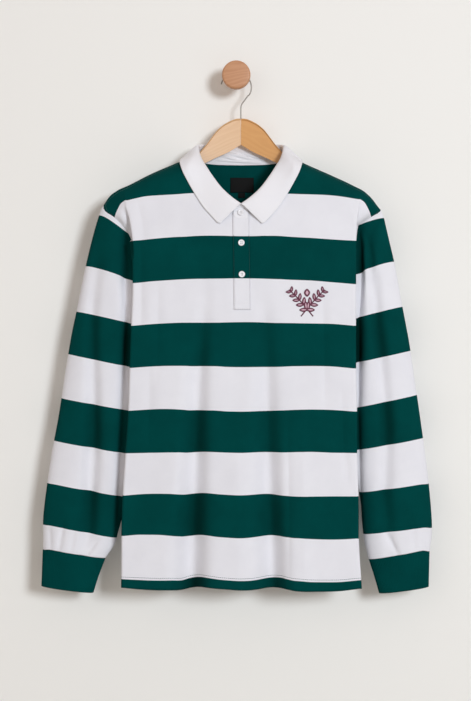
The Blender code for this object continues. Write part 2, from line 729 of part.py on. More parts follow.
def make_hook(collection):
    """The bend over the peg, the sloping neck, and the shank down to the wood."""
    wire_radius = HOOK_WIRE / 2
    centre_drop = HOOK_RADIUS - PEG_STEM_RADIUS - wire_radius - SEAM_GAP
    points = []
    steps = 22
    first, last = math.radians(168), math.radians(-27)
    for k in range(steps + 1):
        turn = first + (last - first) * k / steps
        points.append((HOOK_RADIUS * math.cos(turn), centre_drop - HOOK_RADIUS * math.sin(turn)))
    points += [(0.0165, 0.0365), (0.0110, 0.0440), (0.0088, 0.0480), (MIDDLE, 0.0520),
               (MIDDLE, 0.0600), (MIDDLE, HANGER[0].top - SEAM_GAP)]
    curve = bpy.data.curves.new("hook", "CURVE")
    curve.dimensions = "3D"
    curve.bevel_depth = wire_radius
    curve.bevel_resolution = 2
    curve.use_fill_caps = True
    line = curve.splines.new("POLY")
    line.points.add(len(points) - 1)
    for point, (x, drop) in zip(line.points, points):
        point.co = (x, HOOK_DEPTH, -drop, 1)
    material = bpy.data.materials.new("hook")
    material.use_nodes = True
    shader = material.node_tree.nodes["Principled BSDF"]
    shader.inputs["Base Color"].default_value = (*STEEL, 1)
    shader.inputs["Roughness"].default_value = 0.25
    shader.inputs["Metallic"].default_value = 1.0
    curve.materials.append(material)
    collection.objects.link(bpy.data.objects.new("hook", curve))


def make_peg(collection):
    """A turned peg: its profile from the middle of the face round to the flat back."""
    head, back, length = PEG_HEAD_RADIUS, PEG_HEAD_BACK, PEG_LENGTH
    stem = PEG_STEM_RADIUS
    rim = 0.0035
    profile = [(0, length), (head * 0.5, length), (head - rim, length - 0.0004)]
    for step in range(1, 4):
        turn = math.pi / 2 * step / 3
        profile.append((head - rim + rim * math.sin(turn), length - 0.0004 - rim + rim * math.cos(turn)))
    profile += [(head, back + 0.004), (head - 0.0015, back + 0.0012), (head - 0.004, back),
                (stem + 0.004, back), (stem + 0.001, back - 0.002), (stem, back - 0.005),
                (stem, 0.026), (stem + 0.002, 0.006), (stem + 0.002, 0), (0, 0)]
    mesh = bpy.data.meshes.new("wall_peg")
    edges = [(k, k + 1) for k in range(len(profile) - 1)]
    mesh.from_pydata([(r, 0, z) for r, z in profile], edges, [])
    peg = finish("wall_peg", mesh, collection, PEG_WOOD, roughness=0.5)
    peg.rotation_euler = (math.pi / 2, 0, 0)
    turn = peg.modifiers.new("turn", "SCREW")
    turn.steps = turn.render_steps = 28
    turn.use_merge_vertices = True
    turn.merge_threshold = 0.0001
    turn.use_smooth_shade = True


def main():
    for thing in list(bpy.data.objects):
        bpy.data.objects.remove(thing)
    collection = bpy.data.collections.new("rugby_shirt_on_hanger")
    bpy.context.scene.collection.children.link(collection)
    make_panel("front", collection)
    make_panel("back", collection)
    for side in (RIGHT, LEFT):
        make_sleeve(side, collection)
        make_cuff(side, collection)
        make_hanger_half(side, collection)
    make_collar_band(collection)
    make_collar_leaf(collection)
    make_placket(collection)
    for number, drop in enumerate(BUTTON_DROPS, start=1):
        make_button(number, drop, collection)
    for patch in PATCHES:
        make_patch(patch, collection)
    make_hook(collection)
    make_peg(collection)


main()
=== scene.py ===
"""Striped rugby shirt on a two-part wooden hanger, hung from a round wall peg.

Metres, +Z up. The origin is the centre of the peg's flat back on the wall plane y = 0, the
shirt's front faces -Y, and left is the wearer's left (+X). Heights are given as "drop": how
far a point lies below the origin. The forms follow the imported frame.
"""
import math
from collections import namedtuple

import bmesh
import bpy
import numpy as np
from bpy.props import FloatProperty, FloatVectorProperty, PointerProperty
from mathutils import Matrix, Vector


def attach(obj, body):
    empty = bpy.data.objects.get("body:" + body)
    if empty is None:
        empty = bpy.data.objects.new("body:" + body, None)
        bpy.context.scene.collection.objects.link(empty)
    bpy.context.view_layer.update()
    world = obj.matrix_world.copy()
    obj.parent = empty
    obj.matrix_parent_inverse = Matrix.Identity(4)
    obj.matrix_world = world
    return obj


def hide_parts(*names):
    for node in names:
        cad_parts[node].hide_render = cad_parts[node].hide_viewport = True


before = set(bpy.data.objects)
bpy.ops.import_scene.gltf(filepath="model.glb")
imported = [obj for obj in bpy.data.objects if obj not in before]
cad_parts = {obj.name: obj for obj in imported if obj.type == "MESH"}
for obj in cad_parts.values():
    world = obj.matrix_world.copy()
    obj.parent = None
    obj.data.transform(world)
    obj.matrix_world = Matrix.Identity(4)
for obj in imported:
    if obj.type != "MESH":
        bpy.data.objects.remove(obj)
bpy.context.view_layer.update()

bl_info = {
    "name": "Rugby shirt on hanger",
    "version": (1, 0, 0),
    "blender": (4, 5, 0),
    "location": "View3D > Sidebar > Rugby Shirt",
    "description": "Builds a striped rugby shirt, its hanger and its wall peg piece by piece",
    "category": "Object",
}

LEFT, RIGHT = 1, -1
OUTWARD = {"front": -1, "back": 1}


def table_of(kind, *rows):
    """A table whose rows are all of one kind."""
    return tuple(kind(*row) for row in rows)


# ---- sizes shared with the frame ---------------------------------------------------------
MIDDLE = 0.008               # x of the hanger's joint, the collar and the shoulders
HEM_DROP = 0.8675            # of the back's middle
FOLD_RADIUS = 0.004
FOLD_STARTS = (0.200, 0.270)     # drops over which the side folds take up their radius
SHOULDER_ROLL = 0.034        # height over which the cloth turns from the seam to the panel
FRONT_CROWN = 0.006
BACK_CROWN = 0.012
BACK_INSET = 0.011           # the back's side folds lie this far inside the front's
BACK_INSET_DROPS = (0.200, 0.330)
UNDERARM_DOWN = 0.367        # the armhole's share of a side edge, from tip to hem
SEAM_GAP = 0.0004            # between a sleeve's head and the armhole
DRIFT_WIDTH = 0.050          # cloth this near a hanging fold leans with it
FOLD_STEEP = 1.2             # a hanging fold's left flank against its right one
LEAF_CLEAR = 0.0030          # between the collar leaf's outer side and the cloth under it
LEAF_CLEAR_BACK = 0.0060

PLACKET_WIDTH = 0.0285
PLACKET_X = 0.0076           # of its middle line at the top
PLACKET_LEAN = 0.0026        # how much further left it ends
PLACKET_TOP = 0.2310
PLACKET_BOTTOM = 0.4000
BUTTON_DROPS = (0.2385, 0.2890, 0.3415)

PEG_HEAD_RADIUS = 0.0242
PEG_HEAD_BACK = 0.046
PEG_LENGTH = 0.062
PEG_STEM_RADIUS = 0.007
HOOK_WIRE = 0.0030
HOOK_RADIUS = 0.026
HOOK_DEPTH = -0.034
HANGER_THICK = 0.013
HANGER_REACH = 0.212
RING_STEPS = 8               # from the first ring of a sleeve's table to the last

BodyRow = namedtuple("BodyRow", "drop right_x left_x front_y back_y")
BODY = table_of(BodyRow,
    (0.190, -0.1870, 0.2090, -0.094, -0.036),
    (0.232, -0.1840, 0.2060, -0.100, -0.034),
    (0.286, -0.1750, 0.2000, -0.105, -0.032),
    (0.355, -0.1725, 0.1995, -0.107, -0.031),
    (0.426, -0.1750, 0.1990, -0.108, -0.030),
    (0.495, -0.1775, 0.1990, -0.108, -0.030),
    (0.567, -0.1800, 0.2005, -0.108, -0.030),
    (0.637, -0.1845, 0.2015, -0.108, -0.030),
    (0.710, -0.1890, 0.2035, -0.109, -0.030),
    (0.780, -0.1910, 0.2040, -0.110, -0.030),
    (0.866, -0.1910, 0.2085, -0.110, -0.030),
)
ShoulderRow = namedtuple("ShoulderRow", "out right_drop left_drop")
SHOULDER = table_of(ShoulderRow,
    (0.0880, 0.1405, 0.1405),
    (0.1050, 0.1477, 0.1490),
    (0.1550, 0.1702, 0.1722),
    (0.1890, 0.1885, 0.1890),
    (0.2100, 0.1989, 0.2013),
    (0.2225, 0.2094, 0.2141),
    (0.2310, 0.2225, 0.2260),
    (0.2375, 0.2300, 0.2345),
)
# Armhole edges, then the side seam: how far out past the side fold, and y.
SideRow = namedtuple("SideRow", "drop front_out front_y back_out back_y")
SIDES = table_of(SideRow,
    (0.228, 0.0385, -0.0790, 0.0385, -0.0725),
    (0.234, 0.0362, -0.0795, 0.0365, -0.0680),
    (0.243, 0.0238, -0.0800, 0.0300, -0.0600),
    (0.261, 0.0090, -0.0790, 0.0190, -0.0500),
    (0.285, 0.0000, -0.0780, 0.0070, -0.0450),
    (0.350, -0.0100, -0.0770, -0.0090, -0.0430),
    (0.410, -0.0160, -0.0760, -0.0160, -0.0480),
    (0.444, -0.0190, -0.0740, -0.0190, -0.0560),
    (0.462, -0.0200, -0.0670, -0.0200, -0.0667),
    (0.866, -0.0200, -0.0670, -0.0200, -0.0667),
)
# Deep hanging folds: middle line, how far the cloth draws back, half-width.
FoldRow = namedtuple("FoldRow", "drop x deep wide")
FRONT_FOLDS = (
    table_of(FoldRow,
        (0.300, -0.048, 0.000, 0.014),
        (0.400, -0.053, 0.003, 0.014),
        (0.520, -0.063, 0.0125, 0.017),
        (0.600, -0.067, 0.017, 0.019),
        (0.700, -0.0705, 0.020, 0.021),
        (0.866, -0.0765, 0.029, 0.025),
    ),
    table_of(FoldRow,
        (0.360, 0.043, 0.000, 0.014),
        (0.462, 0.050, 0.006, 0.016),
        (0.600, 0.052, 0.015, 0.019),
        (0.700, 0.0545, 0.019, 0.021),
        (0.800, 0.059, 0.026, 0.023),
        (0.866, 0.061, 0.030, 0.024),
    ),
)
BACK_FOLDS = (
    table_of(FoldRow,
        (0.330, -0.080, 0.000, 0.016),
        (0.520, -0.092, 0.012, 0.018),
        (0.866, -0.102, 0.024, 0.022),
    ),
    table_of(FoldRow,
        (0.420, 0.020, 0.000, 0.015),
        (0.600, 0.014, 0.012, 0.018),
        (0.866, 0.006, 0.022, 0.021),
    ),
    table_of(FoldRow,
        (0.300, 0.113, 0.000, 0.016),
        (0.520, 0.118, 0.011, 0.018),
        (0.866, 0.124, 0.023, 0.022),
    ),
)
FOLDS = {"front": FRONT_FOLDS, "back": BACK_FOLDS}
# Stations round half the neck, from the centre front (0) to the centre back (10).
NeckRow = namedtuple("NeckRow", "out drop y")
NECK_SEAM = table_of(NeckRow,
    (0.0040, 0.2275, -0.1000),
    (0.0200, 0.2185, -0.0985),
    (0.0420, 0.2020, -0.0940),
    (0.0610, 0.1810, -0.0860),
    (0.0750, 0.1620, -0.0760),
    (0.0830, 0.1500, -0.0670),
    (0.0870, 0.1425, -0.0570),
    (0.0880, 0.1405, -0.0472),
    (0.0760, 0.1450, -0.0340),
    (0.0460, 0.1490, -0.0275),
    (0.0000, 0.1500, -0.0255),
)
COLLAR_ROLL = table_of(NeckRow,
    (0.0015, 0.2245, -0.1110),
    (0.0155, 0.2145, -0.1090),
    (0.0330, 0.1980, -0.1030),
    (0.0488, 0.1763, -0.0935),
    (0.0600, 0.1580, -0.0830),
    (0.0670, 0.1455, -0.0740),
    (0.0712, 0.1330, -0.0640),
    (0.0728, 0.1222, -0.0510),
    (0.0652, 0.1168, -0.0340),
    (0.0400, 0.1150, -0.0235),
    (0.0000, 0.1140, -0.0205),
)
LeafRow = namedtuple("LeafRow", "out drop")
LEAF_EDGE = table_of(LeafRow,
    (0.0365, 0.2590),
    (0.0500, 0.2440),
    (0.0630, 0.2290),
    (0.0785, 0.2046),
    (0.0933, 0.1780),
    (0.0995, 0.1640),
    (0.1035, 0.1500),
    (0.1040, 0.1435),
    (0.0960, 0.1490),
    (0.0580, 0.1600),
    (0.0000, 0.1620),
)
NECK_POINT = 7
CENTRE_BACK = 10

# Sleeves, from the armhole to the cuff: the outer and the inner line, and the tube's depth.
SleeveRow = namedtuple("SleeveRow", "outer_x outer_drop inner_x inner_drop y half_depth")
SLEEVE_ROWS = {
    RIGHT: table_of(SleeveRow,
        (-0.2255, 0.2290, -0.1610, 0.4615, -0.070, 0.018),
        (-0.2317, 0.2400, -0.1615, 0.4660, -0.067, 0.024),
        (-0.2446, 0.2830, -0.1625, 0.4770, -0.064, 0.028),
        (-0.2635, 0.3640, -0.1645, 0.5000, -0.061, 0.028),
        (-0.2844, 0.4730, -0.1675, 0.5470, -0.060, 0.026),
        (-0.3025, 0.5850, -0.1720, 0.6240, -0.060, 0.025),
        (-0.3195, 0.6930, -0.1840, 0.7160, -0.060, 0.024),
        (-0.3275, 0.7650, -0.2000, 0.7830, -0.062, 0.0235),
        (-0.3272, 0.8002, -0.2210, 0.8182, -0.064, 0.021),
    ),
    LEFT: table_of(SleeveRow,
        (0.2455, 0.2350, 0.1840, 0.4615, -0.070, 0.018),
        (0.2500, 0.2440, 0.1845, 0.4660, -0.067, 0.024),
        (0.2600, 0.2860, 0.1850, 0.4770, -0.064, 0.028),
        (0.2780, 0.3670, 0.1865, 0.5000, -0.061, 0.028),
        (0.2950, 0.4700, 0.1895, 0.5470, -0.060, 0.026),
        (0.3120, 0.5800, 0.1935, 0.6240, -0.060, 0.025),
        (0.3260, 0.6930, 0.2035, 0.7160, -0.060, 0.024),
        (0.3312, 0.7670, 0.2140, 0.7800, -0.062, 0.0235),
        (0.3272, 0.8015, 0.2238, 0.8202, -0.064, 0.021),
    ),
}
CuffRow = namedtuple("CuffRow", "outer_x outer_drop inner_x inner_drop half_depth")
CUFF_Y = -0.064
CUFF_ROUND = 0.235           # length all round a cuff
CUFF_ROWS = {
    RIGHT: table_of(CuffRow,
        (-0.3268, 0.8007, -0.2215, 0.8187, 0.0195),
        (-0.3280, 0.8360, -0.2330, 0.8490, 0.0185),
        (-0.3291, 0.8655, -0.2418, 0.8769, 0.0180),
    ),
    LEFT: table_of(CuffRow,
        (0.3266, 0.8020, 0.2246, 0.8207, 0.0195),
        (0.3258, 0.8380, 0.2340, 0.8500, 0.0185),
        (0.3252, 0.8666, 0.2419, 0.8777, 0.0180),
    ),
}
HangerRow = namedtuple("HangerRow", "out top bottom")
HANGER = table_of(HangerRow,
    (0.0000, 0.0700, 0.1163),
    (0.0100, 0.0712, 0.1225),
    (0.0200, 0.0755, 0.1285),
    (0.0300, 0.0815, 0.1335),
    (0.0400, 0.0905, 0.1380),
    (0.0500, 0.1035, 0.1430),
    (0.0600, 0.1170, 0.1480),
    (0.0690, 0.1275, 0.1530),
    (0.0800, 0.1430, 0.1610),
    (0.0900, 0.1495, 0.1680),
    (0.1050, 0.1550, 0.1780),
    (0.1550, 0.1760, 0.2020),
    (0.1890, 0.1940, 0.2190),
    (0.2060, 0.2050, 0.2240),
    (HANGER_REACH, 0.2110, 0.2190),
)
Patch = namedtuple("Patch", "name node x drop width height")
PATCHES = table_of(Patch,
    ("label_neck", "neck_label", 0.0100, 0.1710, 0.0400, 0.0255),
    ("label_size", "size_tab", 0.0092, 0.1970, 0.0118, 0.0085),
)

# ---- stripes -----------------------------------------------------------------------------
# Drops of the edges between stripes, from the first green yoke down, at places across the
# front (-1 at the right side fold, 1 at the left one), and the drop of the hem there.
STRIPE_PLACES = (-1, -0.85, -0.7, -0.6, -0.52, -0.45, -0.38, -0.3, -0.2, -0.1, 0, 0.1, 0.2, 0.27,
                 0.33, 0.4, 0.5, 0.6, 0.8, 1)
BODY_STRIPES = (
    (0.2173, 0.2109, 0.2086, 0.2077, 0.2067, 0.2059, 0.2055, 0.2053, 0.2053, 0.2053, 0.2053, 0.2055,
     0.2057, 0.2061, 0.2064, 0.2067, 0.2073, 0.2076, 0.2097, 0.2153),
    (0.2852, 0.2826, 0.2801, 0.2791, 0.2786, 0.2778, 0.2774, 0.2772, 0.2772, 0.2778, 0.2781, 0.2779,
     0.2773, 0.2773, 0.2777, 0.2786, 0.2797, 0.2807, 0.2832, 0.2850),
    (0.3557, 0.3530, 0.3512, 0.3501, 0.3494, 0.3490, 0.3488, 0.3487, 0.3486, 0.3482, 0.3483, 0.3484,
     0.3489, 0.3493, 0.3496, 0.3503, 0.3509, 0.3516, 0.3545, 0.3574),
    (0.4266, 0.4242, 0.4226, 0.4219, 0.4216, 0.4216, 0.4216, 0.4216, 0.4215, 0.4210, 0.4207, 0.4209,
     0.4216, 0.4221, 0.4222, 0.4223, 0.4226, 0.4229, 0.4235, 0.4265),
    (0.4967, 0.4947, 0.4935, 0.4933, 0.4933, 0.4935, 0.4940, 0.4938, 0.4939, 0.4952, 0.4954, 0.4952,
     0.4951, 0.4950, 0.4947, 0.4941, 0.4938, 0.4936, 0.4943, 0.4976),
    (0.5678, 0.5660, 0.5648, 0.5650, 0.5656, 0.5664, 0.5674, 0.5672, 0.5672, 0.5688, 0.5692, 0.5686,
     0.5682, 0.5675, 0.5671, 0.5666, 0.5660, 0.5657, 0.5665, 0.5692),
    (0.6386, 0.6380, 0.6374, 0.6370, 0.6369, 0.6373, 0.6380, 0.6376, 0.6361, 0.6370, 0.6375, 0.6369,
     0.6373, 0.6371, 0.6370, 0.6367, 0.6361, 0.6360, 0.6375, 0.6381),
    (0.7087, 0.7062, 0.7053, 0.7054, 0.7060, 0.7069, 0.7076, 0.7070, 0.7046, 0.7065, 0.7076, 0.7069,
     0.7073, 0.7080, 0.7087, 0.7095, 0.7099, 0.7100, 0.7099, 0.7101),
    (0.7758, 0.7733, 0.7734, 0.7745, 0.7756, 0.7767, 0.7779, 0.7777, 0.7748, 0.7772, 0.7787, 0.7774,
     0.7766, 0.7766, 0.7775, 0.7784, 0.7790, 0.7803, 0.7816, 0.7801),
    (0.8474, 0.8487, 0.8493, 0.8493, 0.8499, 0.8510, 0.8516, 0.8490, 0.8447, 0.8478, 0.8497, 0.8487,
     0.8475, 0.8464, 0.8476, 0.8492, 0.8503, 0.8518, 0.8521, 0.8491),
)
HEM_EDGE = (0.8619, 0.8645, 0.8656, 0.8659, 0.8667, 0.8675, 0.8678, 0.8659, 0.8615, 0.8635, 0.8656,
            0.8650, 0.8646, 0.8641, 0.8650, 0.8665, 0.8677, 0.8680, 0.8675, 0.8634)
STRIPE_STEP = 0.0715         # above the first edge and below the last one
HEM_SEAM = 8.95              # the hem's stitches follow this stripe number
# How much lower the stripes lie beyond the side folds, near the armholes: how far out, and drop.
ARMHOLE_SAG = ((0, 0.0), (0.006, 0.0035), (0.009, 0.0065), (0.0137, 0.0140), (0.0206, 0.0250),
               (0.0235, 0.0305), (0.040, 0.066))
# On a sleeve: drops at the outer line and where the sleeve meets the body.
SLEEVE_STRIPES = {
    RIGHT: ((0.2400, 0.2745), (0.3258, 0.3507), (0.4022, 0.4229), (0.4736, 0.4958),
            (0.5482, 0.5690), (0.6200, 0.6415), (0.6904, 0.7145), (0.7592, 0.7844),
            (0.8300, 0.8480)),
    LEFT: ((0.2445, 0.2585), (0.3180, 0.3390), (0.3937, 0.4140), (0.4681, 0.4890),
           (0.5426, 0.5644), (0.6156, 0.6360), (0.6910, 0.7080), (0.7636, 0.7780),
           (0.8330, 0.8440)),
}
SLEEVE_STEP = 0.075          # above the sleeve's first edge
SLEEVE_BEND = (1.6, 1.4, 1.15, 1, 1, 1, 1, 1, 1)    # above 1, an edge bends near the body

# ---- creases -----------------------------------------------------------------------------
# Soft troughs (deep above 0) and ridges (below 0) along a line, as seen from the front.
Crease = namedtuple("Crease", "x1 drop1 x2 drop2 deep wide")
FRONT_CREASES = table_of(Crease,
    (-0.159, 0.270, -0.158, 0.440, 0.0034, 0.009),
    (-0.129, 0.350, -0.132, 0.520, 0.0020, 0.008),
    (-0.143, 0.480, -0.146, 0.640, 0.0020, 0.009),
    (0.144, 0.330, 0.148, 0.580, 0.0024, 0.008),
    (0.176, 0.530, 0.180, 0.690, 0.0024, 0.007),
    (0.184, 0.630, 0.187, 0.700, 0.0012, 0.005),
    (0.086, 0.560, 0.088, 0.866, 0.0020, 0.006),
    (-0.100, 0.560, -0.104, 0.860, -0.0020, 0.012),
    (0.110, 0.600, 0.114, 0.866, -0.0020, 0.012),
    (0.002, 0.600, 0.004, 0.866, -0.0020, 0.016),
    (-0.1865, 0.232, -0.1755, 0.318, 0.0160, 0.0038),
    (0.2085, 0.216, 0.2045, 0.300, 0.0060, 0.0035),
    (0.190, 0.210, 0.206, 0.262, 0.0010, 0.004),
    (-0.165, 0.205, -0.150, 0.300, 0.0014, 0.008),
)
BACK_CREASES = table_of(Crease,
    (-0.150, 0.240, -0.120, 0.400, 0.0018, 0.009),
    (0.165, 0.235, 0.140, 0.390, 0.0018, 0.009),
    (-0.040, 0.420, -0.044, 0.700, 0.0014, 0.008),
    (0.066, 0.480, 0.070, 0.800, 0.0014, 0.008),
    (-0.150, 0.560, -0.153, 0.850, -0.0020, 0.012),
    (0.160, 0.600, 0.166, 0.860, 0.0016, 0.008),
)
CREASES = {"front": FRONT_CREASES, "back": BACK_CREASES}
SLEEVE_CREASES = {
    RIGHT: table_of(Crease,
        (-0.186, 0.230, -0.182, 0.560, 0.0105, 0.0080),
        (-0.184, 0.420, -0.199, 0.800, 0.0085, 0.0085),
        (-0.262, 0.290, -0.276, 0.430, 0.0012, 0.008),
        (-0.300, 0.500, -0.304, 0.640, 0.0010, 0.008),
        (-0.289, 0.750, -0.2995, 0.812, 0.0036, 0.0042),
        (-0.270, 0.760, -0.279, 0.814, 0.0030, 0.0040),
        (-0.254, 0.815, -0.230, 0.782, 0.0040, 0.0042),
        (-0.314, 0.760, -0.312, 0.808, 0.0020, 0.004),
    ),
    LEFT: table_of(Crease,
        (0.2090, 0.215, 0.2025, 0.560, 0.0150, 0.0085),
        (0.238, 0.300, 0.238, 0.420, 0.0012, 0.007),
        (0.2000, 0.420, 0.2065, 0.790, 0.0085, 0.0078),
        (0.226, 0.270, 0.224, 0.370, 0.0012, 0.007),
        (0.276, 0.320, 0.286, 0.450, 0.0012, 0.008),
        (0.298, 0.500, 0.306, 0.660, 0.0010, 0.008),
        (0.249, 0.768, 0.275, 0.818, 0.0042, 0.0042),
        (0.296, 0.740, 0.300, 0.812, 0.0022, 0.005),
        (0.314, 0.770, 0.314, 0.808, 0.0012, 0.004),
    ),
}
BAND_CREASES = table_of(Crease,
    (-0.028, 0.1325, 0.006, 0.1420, 0.0034, 0.0013),
    (-0.016, 0.1290, 0.030, 0.1400, 0.0036, 0.0014),
    (-0.002, 0.1250, 0.040, 0.1385, 0.0034, 0.0014),
    (0.004, 0.1200, 0.052, 0.1430, 0.0030, 0.0014),
    (-0.034, 0.1410, 0.044, 0.1455, 0.0026, 0.0011),
)
SLACK_SEED = {"front": 0.0, "back": 2.0}


# ---- reading the tables ------------------------------------------------------------------
def along(xs, ys, x):
    """Values at x of a smooth curve through (xs, ys) that never swings past a point."""
    xs, ys = np.asarray(xs, float), np.asarray(ys, float)
    steps = np.diff(ys) / np.diff(xs)
    before, after = np.append(steps[0], steps), np.append(steps, steps[-1])
    limit = 3 * np.minimum(abs(before), abs(after))
    slopes = np.where(before * after > 0, np.clip(np.gradient(ys, xs), -limit, limit), 0)
    x = np.clip(x, xs[0], xs[-1])
    i = np.clip(np.searchsorted(xs, x) - 1, 0, len(xs) - 2)
    span = xs[i + 1] - xs[i]
    t = (x - xs[i]) / span
    rise = slopes[i] * (t ** 3 - 2 * t ** 2 + t) + slopes[i + 1] * (t ** 3 - t ** 2)
    return ys[i] + (ys[i + 1] - ys[i]) * (3 * t ** 2 - 2 * t ** 3) + span * rise


def read(table, column, value):
    """A column of a table, at values of its first column."""
    return along([row[0] for row in table], [getattr(row, column) for row in table], value)


def station(table, column, number):
    """A column of a table at row numbers, whole or not."""
    return along(range(len(table)), [getattr(row, column) for row in table], number)


def smooth_step(low, high, value):
    """0 up to low and 1 from high on, eased in between."""
    share = np.clip((value - low) / (high - low), 0, 1)
    return share ** 2 * (3 - 2 * share)


def hump(value, middle, wide):
    """1 at the middle, falling to 0 on both sides as a bell does."""
    return np.exp(-((value - middle) / wide) ** 2)


def places(x, y, drop):
    """Points in space from their x, y and drop."""
    return np.stack((x, y, -drop), axis=-1)


def x_and_drop(points):
    """Where points lie on the cloth, seen from the front."""
    return points[..., 0], -points[..., 2]


# ---- the body's form ---------------------------------------------------------------------
def side_fold_x(side, drop):
    """x of the fold down a side of the body."""
    return read(BODY, "left_x" if side == LEFT else "right_x", drop)


def body_middle(drop):
    """x halfway between the side folds."""
    return (side_fold_x(LEFT, drop) + side_fold_x(RIGHT, drop)) / 2


def inset_of(face, drop):
    """How far inside the front's side folds a panel's own ones lie."""
    return BACK_INSET * smooth_step(*BACK_INSET_DROPS, drop) if face == "back" else 0 * drop


def body_half(face, drop):
    """Half the width of a panel's flat face."""
    width = side_fold_x(LEFT, drop) - side_fold_x(RIGHT, drop)
    return width / 2 - FOLD_RADIUS - inset_of(face, drop)


def ridge_y(out):
    """Depth of the hanger's arm, which sweeps forward, and of the shoulder seam over it."""
    return -0.036 - 0.10 * out - 0.30 * out ** 2


def fold_draw(folds, x, drop):
    """How far the hanging folds draw the cloth back, each steeper on its left."""
    total = 0 * x
    for rows in folds:
        offset = (x - read(rows, "x", drop)) / read(rows, "wide", drop)
        offset = offset * np.where(offset > 0, FOLD_STEEP, 1.0)
        total = total + read(rows, "deep", drop) * np.exp(-offset ** 2)
    return total


def fold_drift(folds, x, drop):
    """How far sideways the hanging folds carry cloth that starts at x."""
    total = 0 * x
    for rows in folds:
        near = hump(x, rows[0].x, DRIFT_WIDTH)
        total = total + near * (read(rows, "x", drop) - rows[0].x)
    return total


def face_x(face, across, drop):
    """x of a place across a panel, carried along by the hanging folds near it."""
    x = body_middle(drop) + across * body_half(face, drop)
    return x + fold_drift(FOLDS[face], x, drop) * (1 - across ** 4)


def face_y(face, x, drop):
    """y of a panel's outer side away from the shoulders."""
    share = np.clip(abs(x - body_middle(drop)) / body_half(face, drop), 0, 1)
    bow, drawn = 1 - share ** 2, fold_draw(FOLDS[face], x, drop)
    if face == "front":
        return read(BODY, "front_y", drop) - FRONT_CROWN * bow + drawn
    return read(BODY, "back_y", drop) + BACK_CROWN * bow - drawn


def neck_station_at(face, out):
    """The station of the neck seam that lies this far out, on the front or on the back."""
    numbers = np.linspace(0 if face == "front" else CENTRE_BACK, NECK_POINT, 600)
    return np.interp(out, station(NECK_SEAM, "out", numbers), numbers)


def top_of_panel(face, x):
    """Drop and y of a panel's top edge: the neck seam, then the shoulder seam."""
    out = abs(x - MIDDLE)
    number = neck_station_at(face, out)
    right, left = read(SHOULDER, "right_drop", out), read(SHOULDER, "left_drop", out)
    seam_y = ridge_y(out) + OUTWARD[face] * 0.0002
    at_neck = out < NECK_SEAM[NECK_POINT].out - 0.0005
    drop = np.where(at_neck, station(NECK_SEAM, "drop", number), np.where(x > MIDDLE, left, right))
    return drop, np.where(at_neck, station(NECK_SEAM, "y", number), seam_y)


def rolled(top_y, full_y, below):
    """y of cloth that leaves its top edge level and turns down within SHOULDER_ROLL."""
    left = 1 - np.clip(below / SHOULDER_ROLL, 0, 1)
    return top_y + (full_y - top_y) * np.sqrt(1 - left ** 2)


def surface_y(face, x, drop):
    """y of the outer side of the front or the back at places between the side folds."""
    top_drop, top_y = top_of_panel(face, x)
    return rolled(top_y, face_y(face, x, drop), drop - top_drop)


def column_place(face, across, turn, past, drop):
    """x and y of cloth across the face (-1 to 1), turned round the side fold (0 to 1) and
    past it (0 at the fold, 1 at the armhole and the side seam)."""
    side = np.sign(across) + (across == 0)
    x = face_x(face, across, drop)
    y = face_y(face, x, drop)
    angle = turn * math.pi / 2
    fold_x = x + side * FOLD_RADIUS * np.sin(angle)
    fold_y = y - OUTWARD[face] * FOLD_RADIUS * (1 - np.cos(angle)) * smooth_step(*FOLD_STARTS, drop)
    edge_x = np.where(side > 0, side_fold_x(LEFT, drop), side_fold_x(RIGHT, drop))
    out = read(SIDES, face + "_out", drop)
    seam_y = read(SIDES, face + "_y", drop)
    if face == "front":
        # The left armhole is drawn in under the shoulder, and the right one comes forward.
        out = out - 0.0095 * hump(drop, 0.262, 0.013) * (side > 0)
        seam_y = seam_y - 0.006 * hump(drop, 0.243, 0.018) * (side < 0)
    seam_x = edge_x + side * out
    return fold_x + (seam_x - fold_x) * past, fold_y + (seam_y - fold_y) * past


def hem_drop(face, across):
    """Drop of a panel's hem; the back's meets the front's at the sides."""
    if face == "front":
        return along(STRIPE_PLACES, HEM_EDGE, across)
    return HEM_DROP + (np.where(across > 0, HEM_EDGE[-1], HEM_EDGE[0]) - HEM_DROP) * across ** 8


def panel_points(face, across, turn, past, down):
    """A grid of points on a panel's outer side, down being 0 at its top edge, 1 at the hem."""
    across, turn, past = (np.asarray(value, float) for value in (across, turn, past))
    down = np.asarray(down, float)[:, None]
    top_drop = np.full(across.shape, BODY[0].drop)
    for _ in range(6):
        x = column_place(face, across, turn, past, top_drop)[0]
        top_drop, top_y = top_of_panel(face, x)
    drop = top_drop + (hem_drop(face, across) - top_drop) * down
    x, y = column_place(face, across, turn, past, drop)
    return places(x, rolled(top_y, y, drop - top_drop), drop)


def stripe_number(level, edges, start):
    """Counts on from start by the edges that lie above a level, and by its share of a stripe."""
    return sum((np.clip((level - edge) / (after - edge), 0, 1)
                for edge, after in zip(edges, edges[1:])), start)


def body_stripe(face, across, x, drop):
    """Stripe number at a place on the body; odd ones are green, and so is the yoke."""
    out = np.maximum(x - side_fold_x(LEFT, drop), side_fold_x(RIGHT, drop) - x)
    level = drop - np.interp(out, *zip(*ARMHOLE_SAG)) * (1 - smooth_step(0.25, 0.36, drop))
    if face == "front":
        edges = [along(STRIPE_PLACES, row, across) for row in BODY_STRIPES]
    else:
        # The back's stripes meet the front's at the sides and lie lower at the shoulders.
        level = level - 0.015 * (1 - across ** 2) * (1 - smooth_step(0.22, 0.50, drop))
        centre = STRIPE_PLACES.index(0)
        edges = [row[centre] + (np.where(across > 0, row[-1], row[0]) - row[centre]) * across ** 4
                 for row in BODY_STRIPES]
    above, below = np.minimum(level - edges[0], 0), np.maximum(level - edges[-1], 0)
    return stripe_number(level, edges, above / STRIPE_STEP + below / STRIPE_STEP)


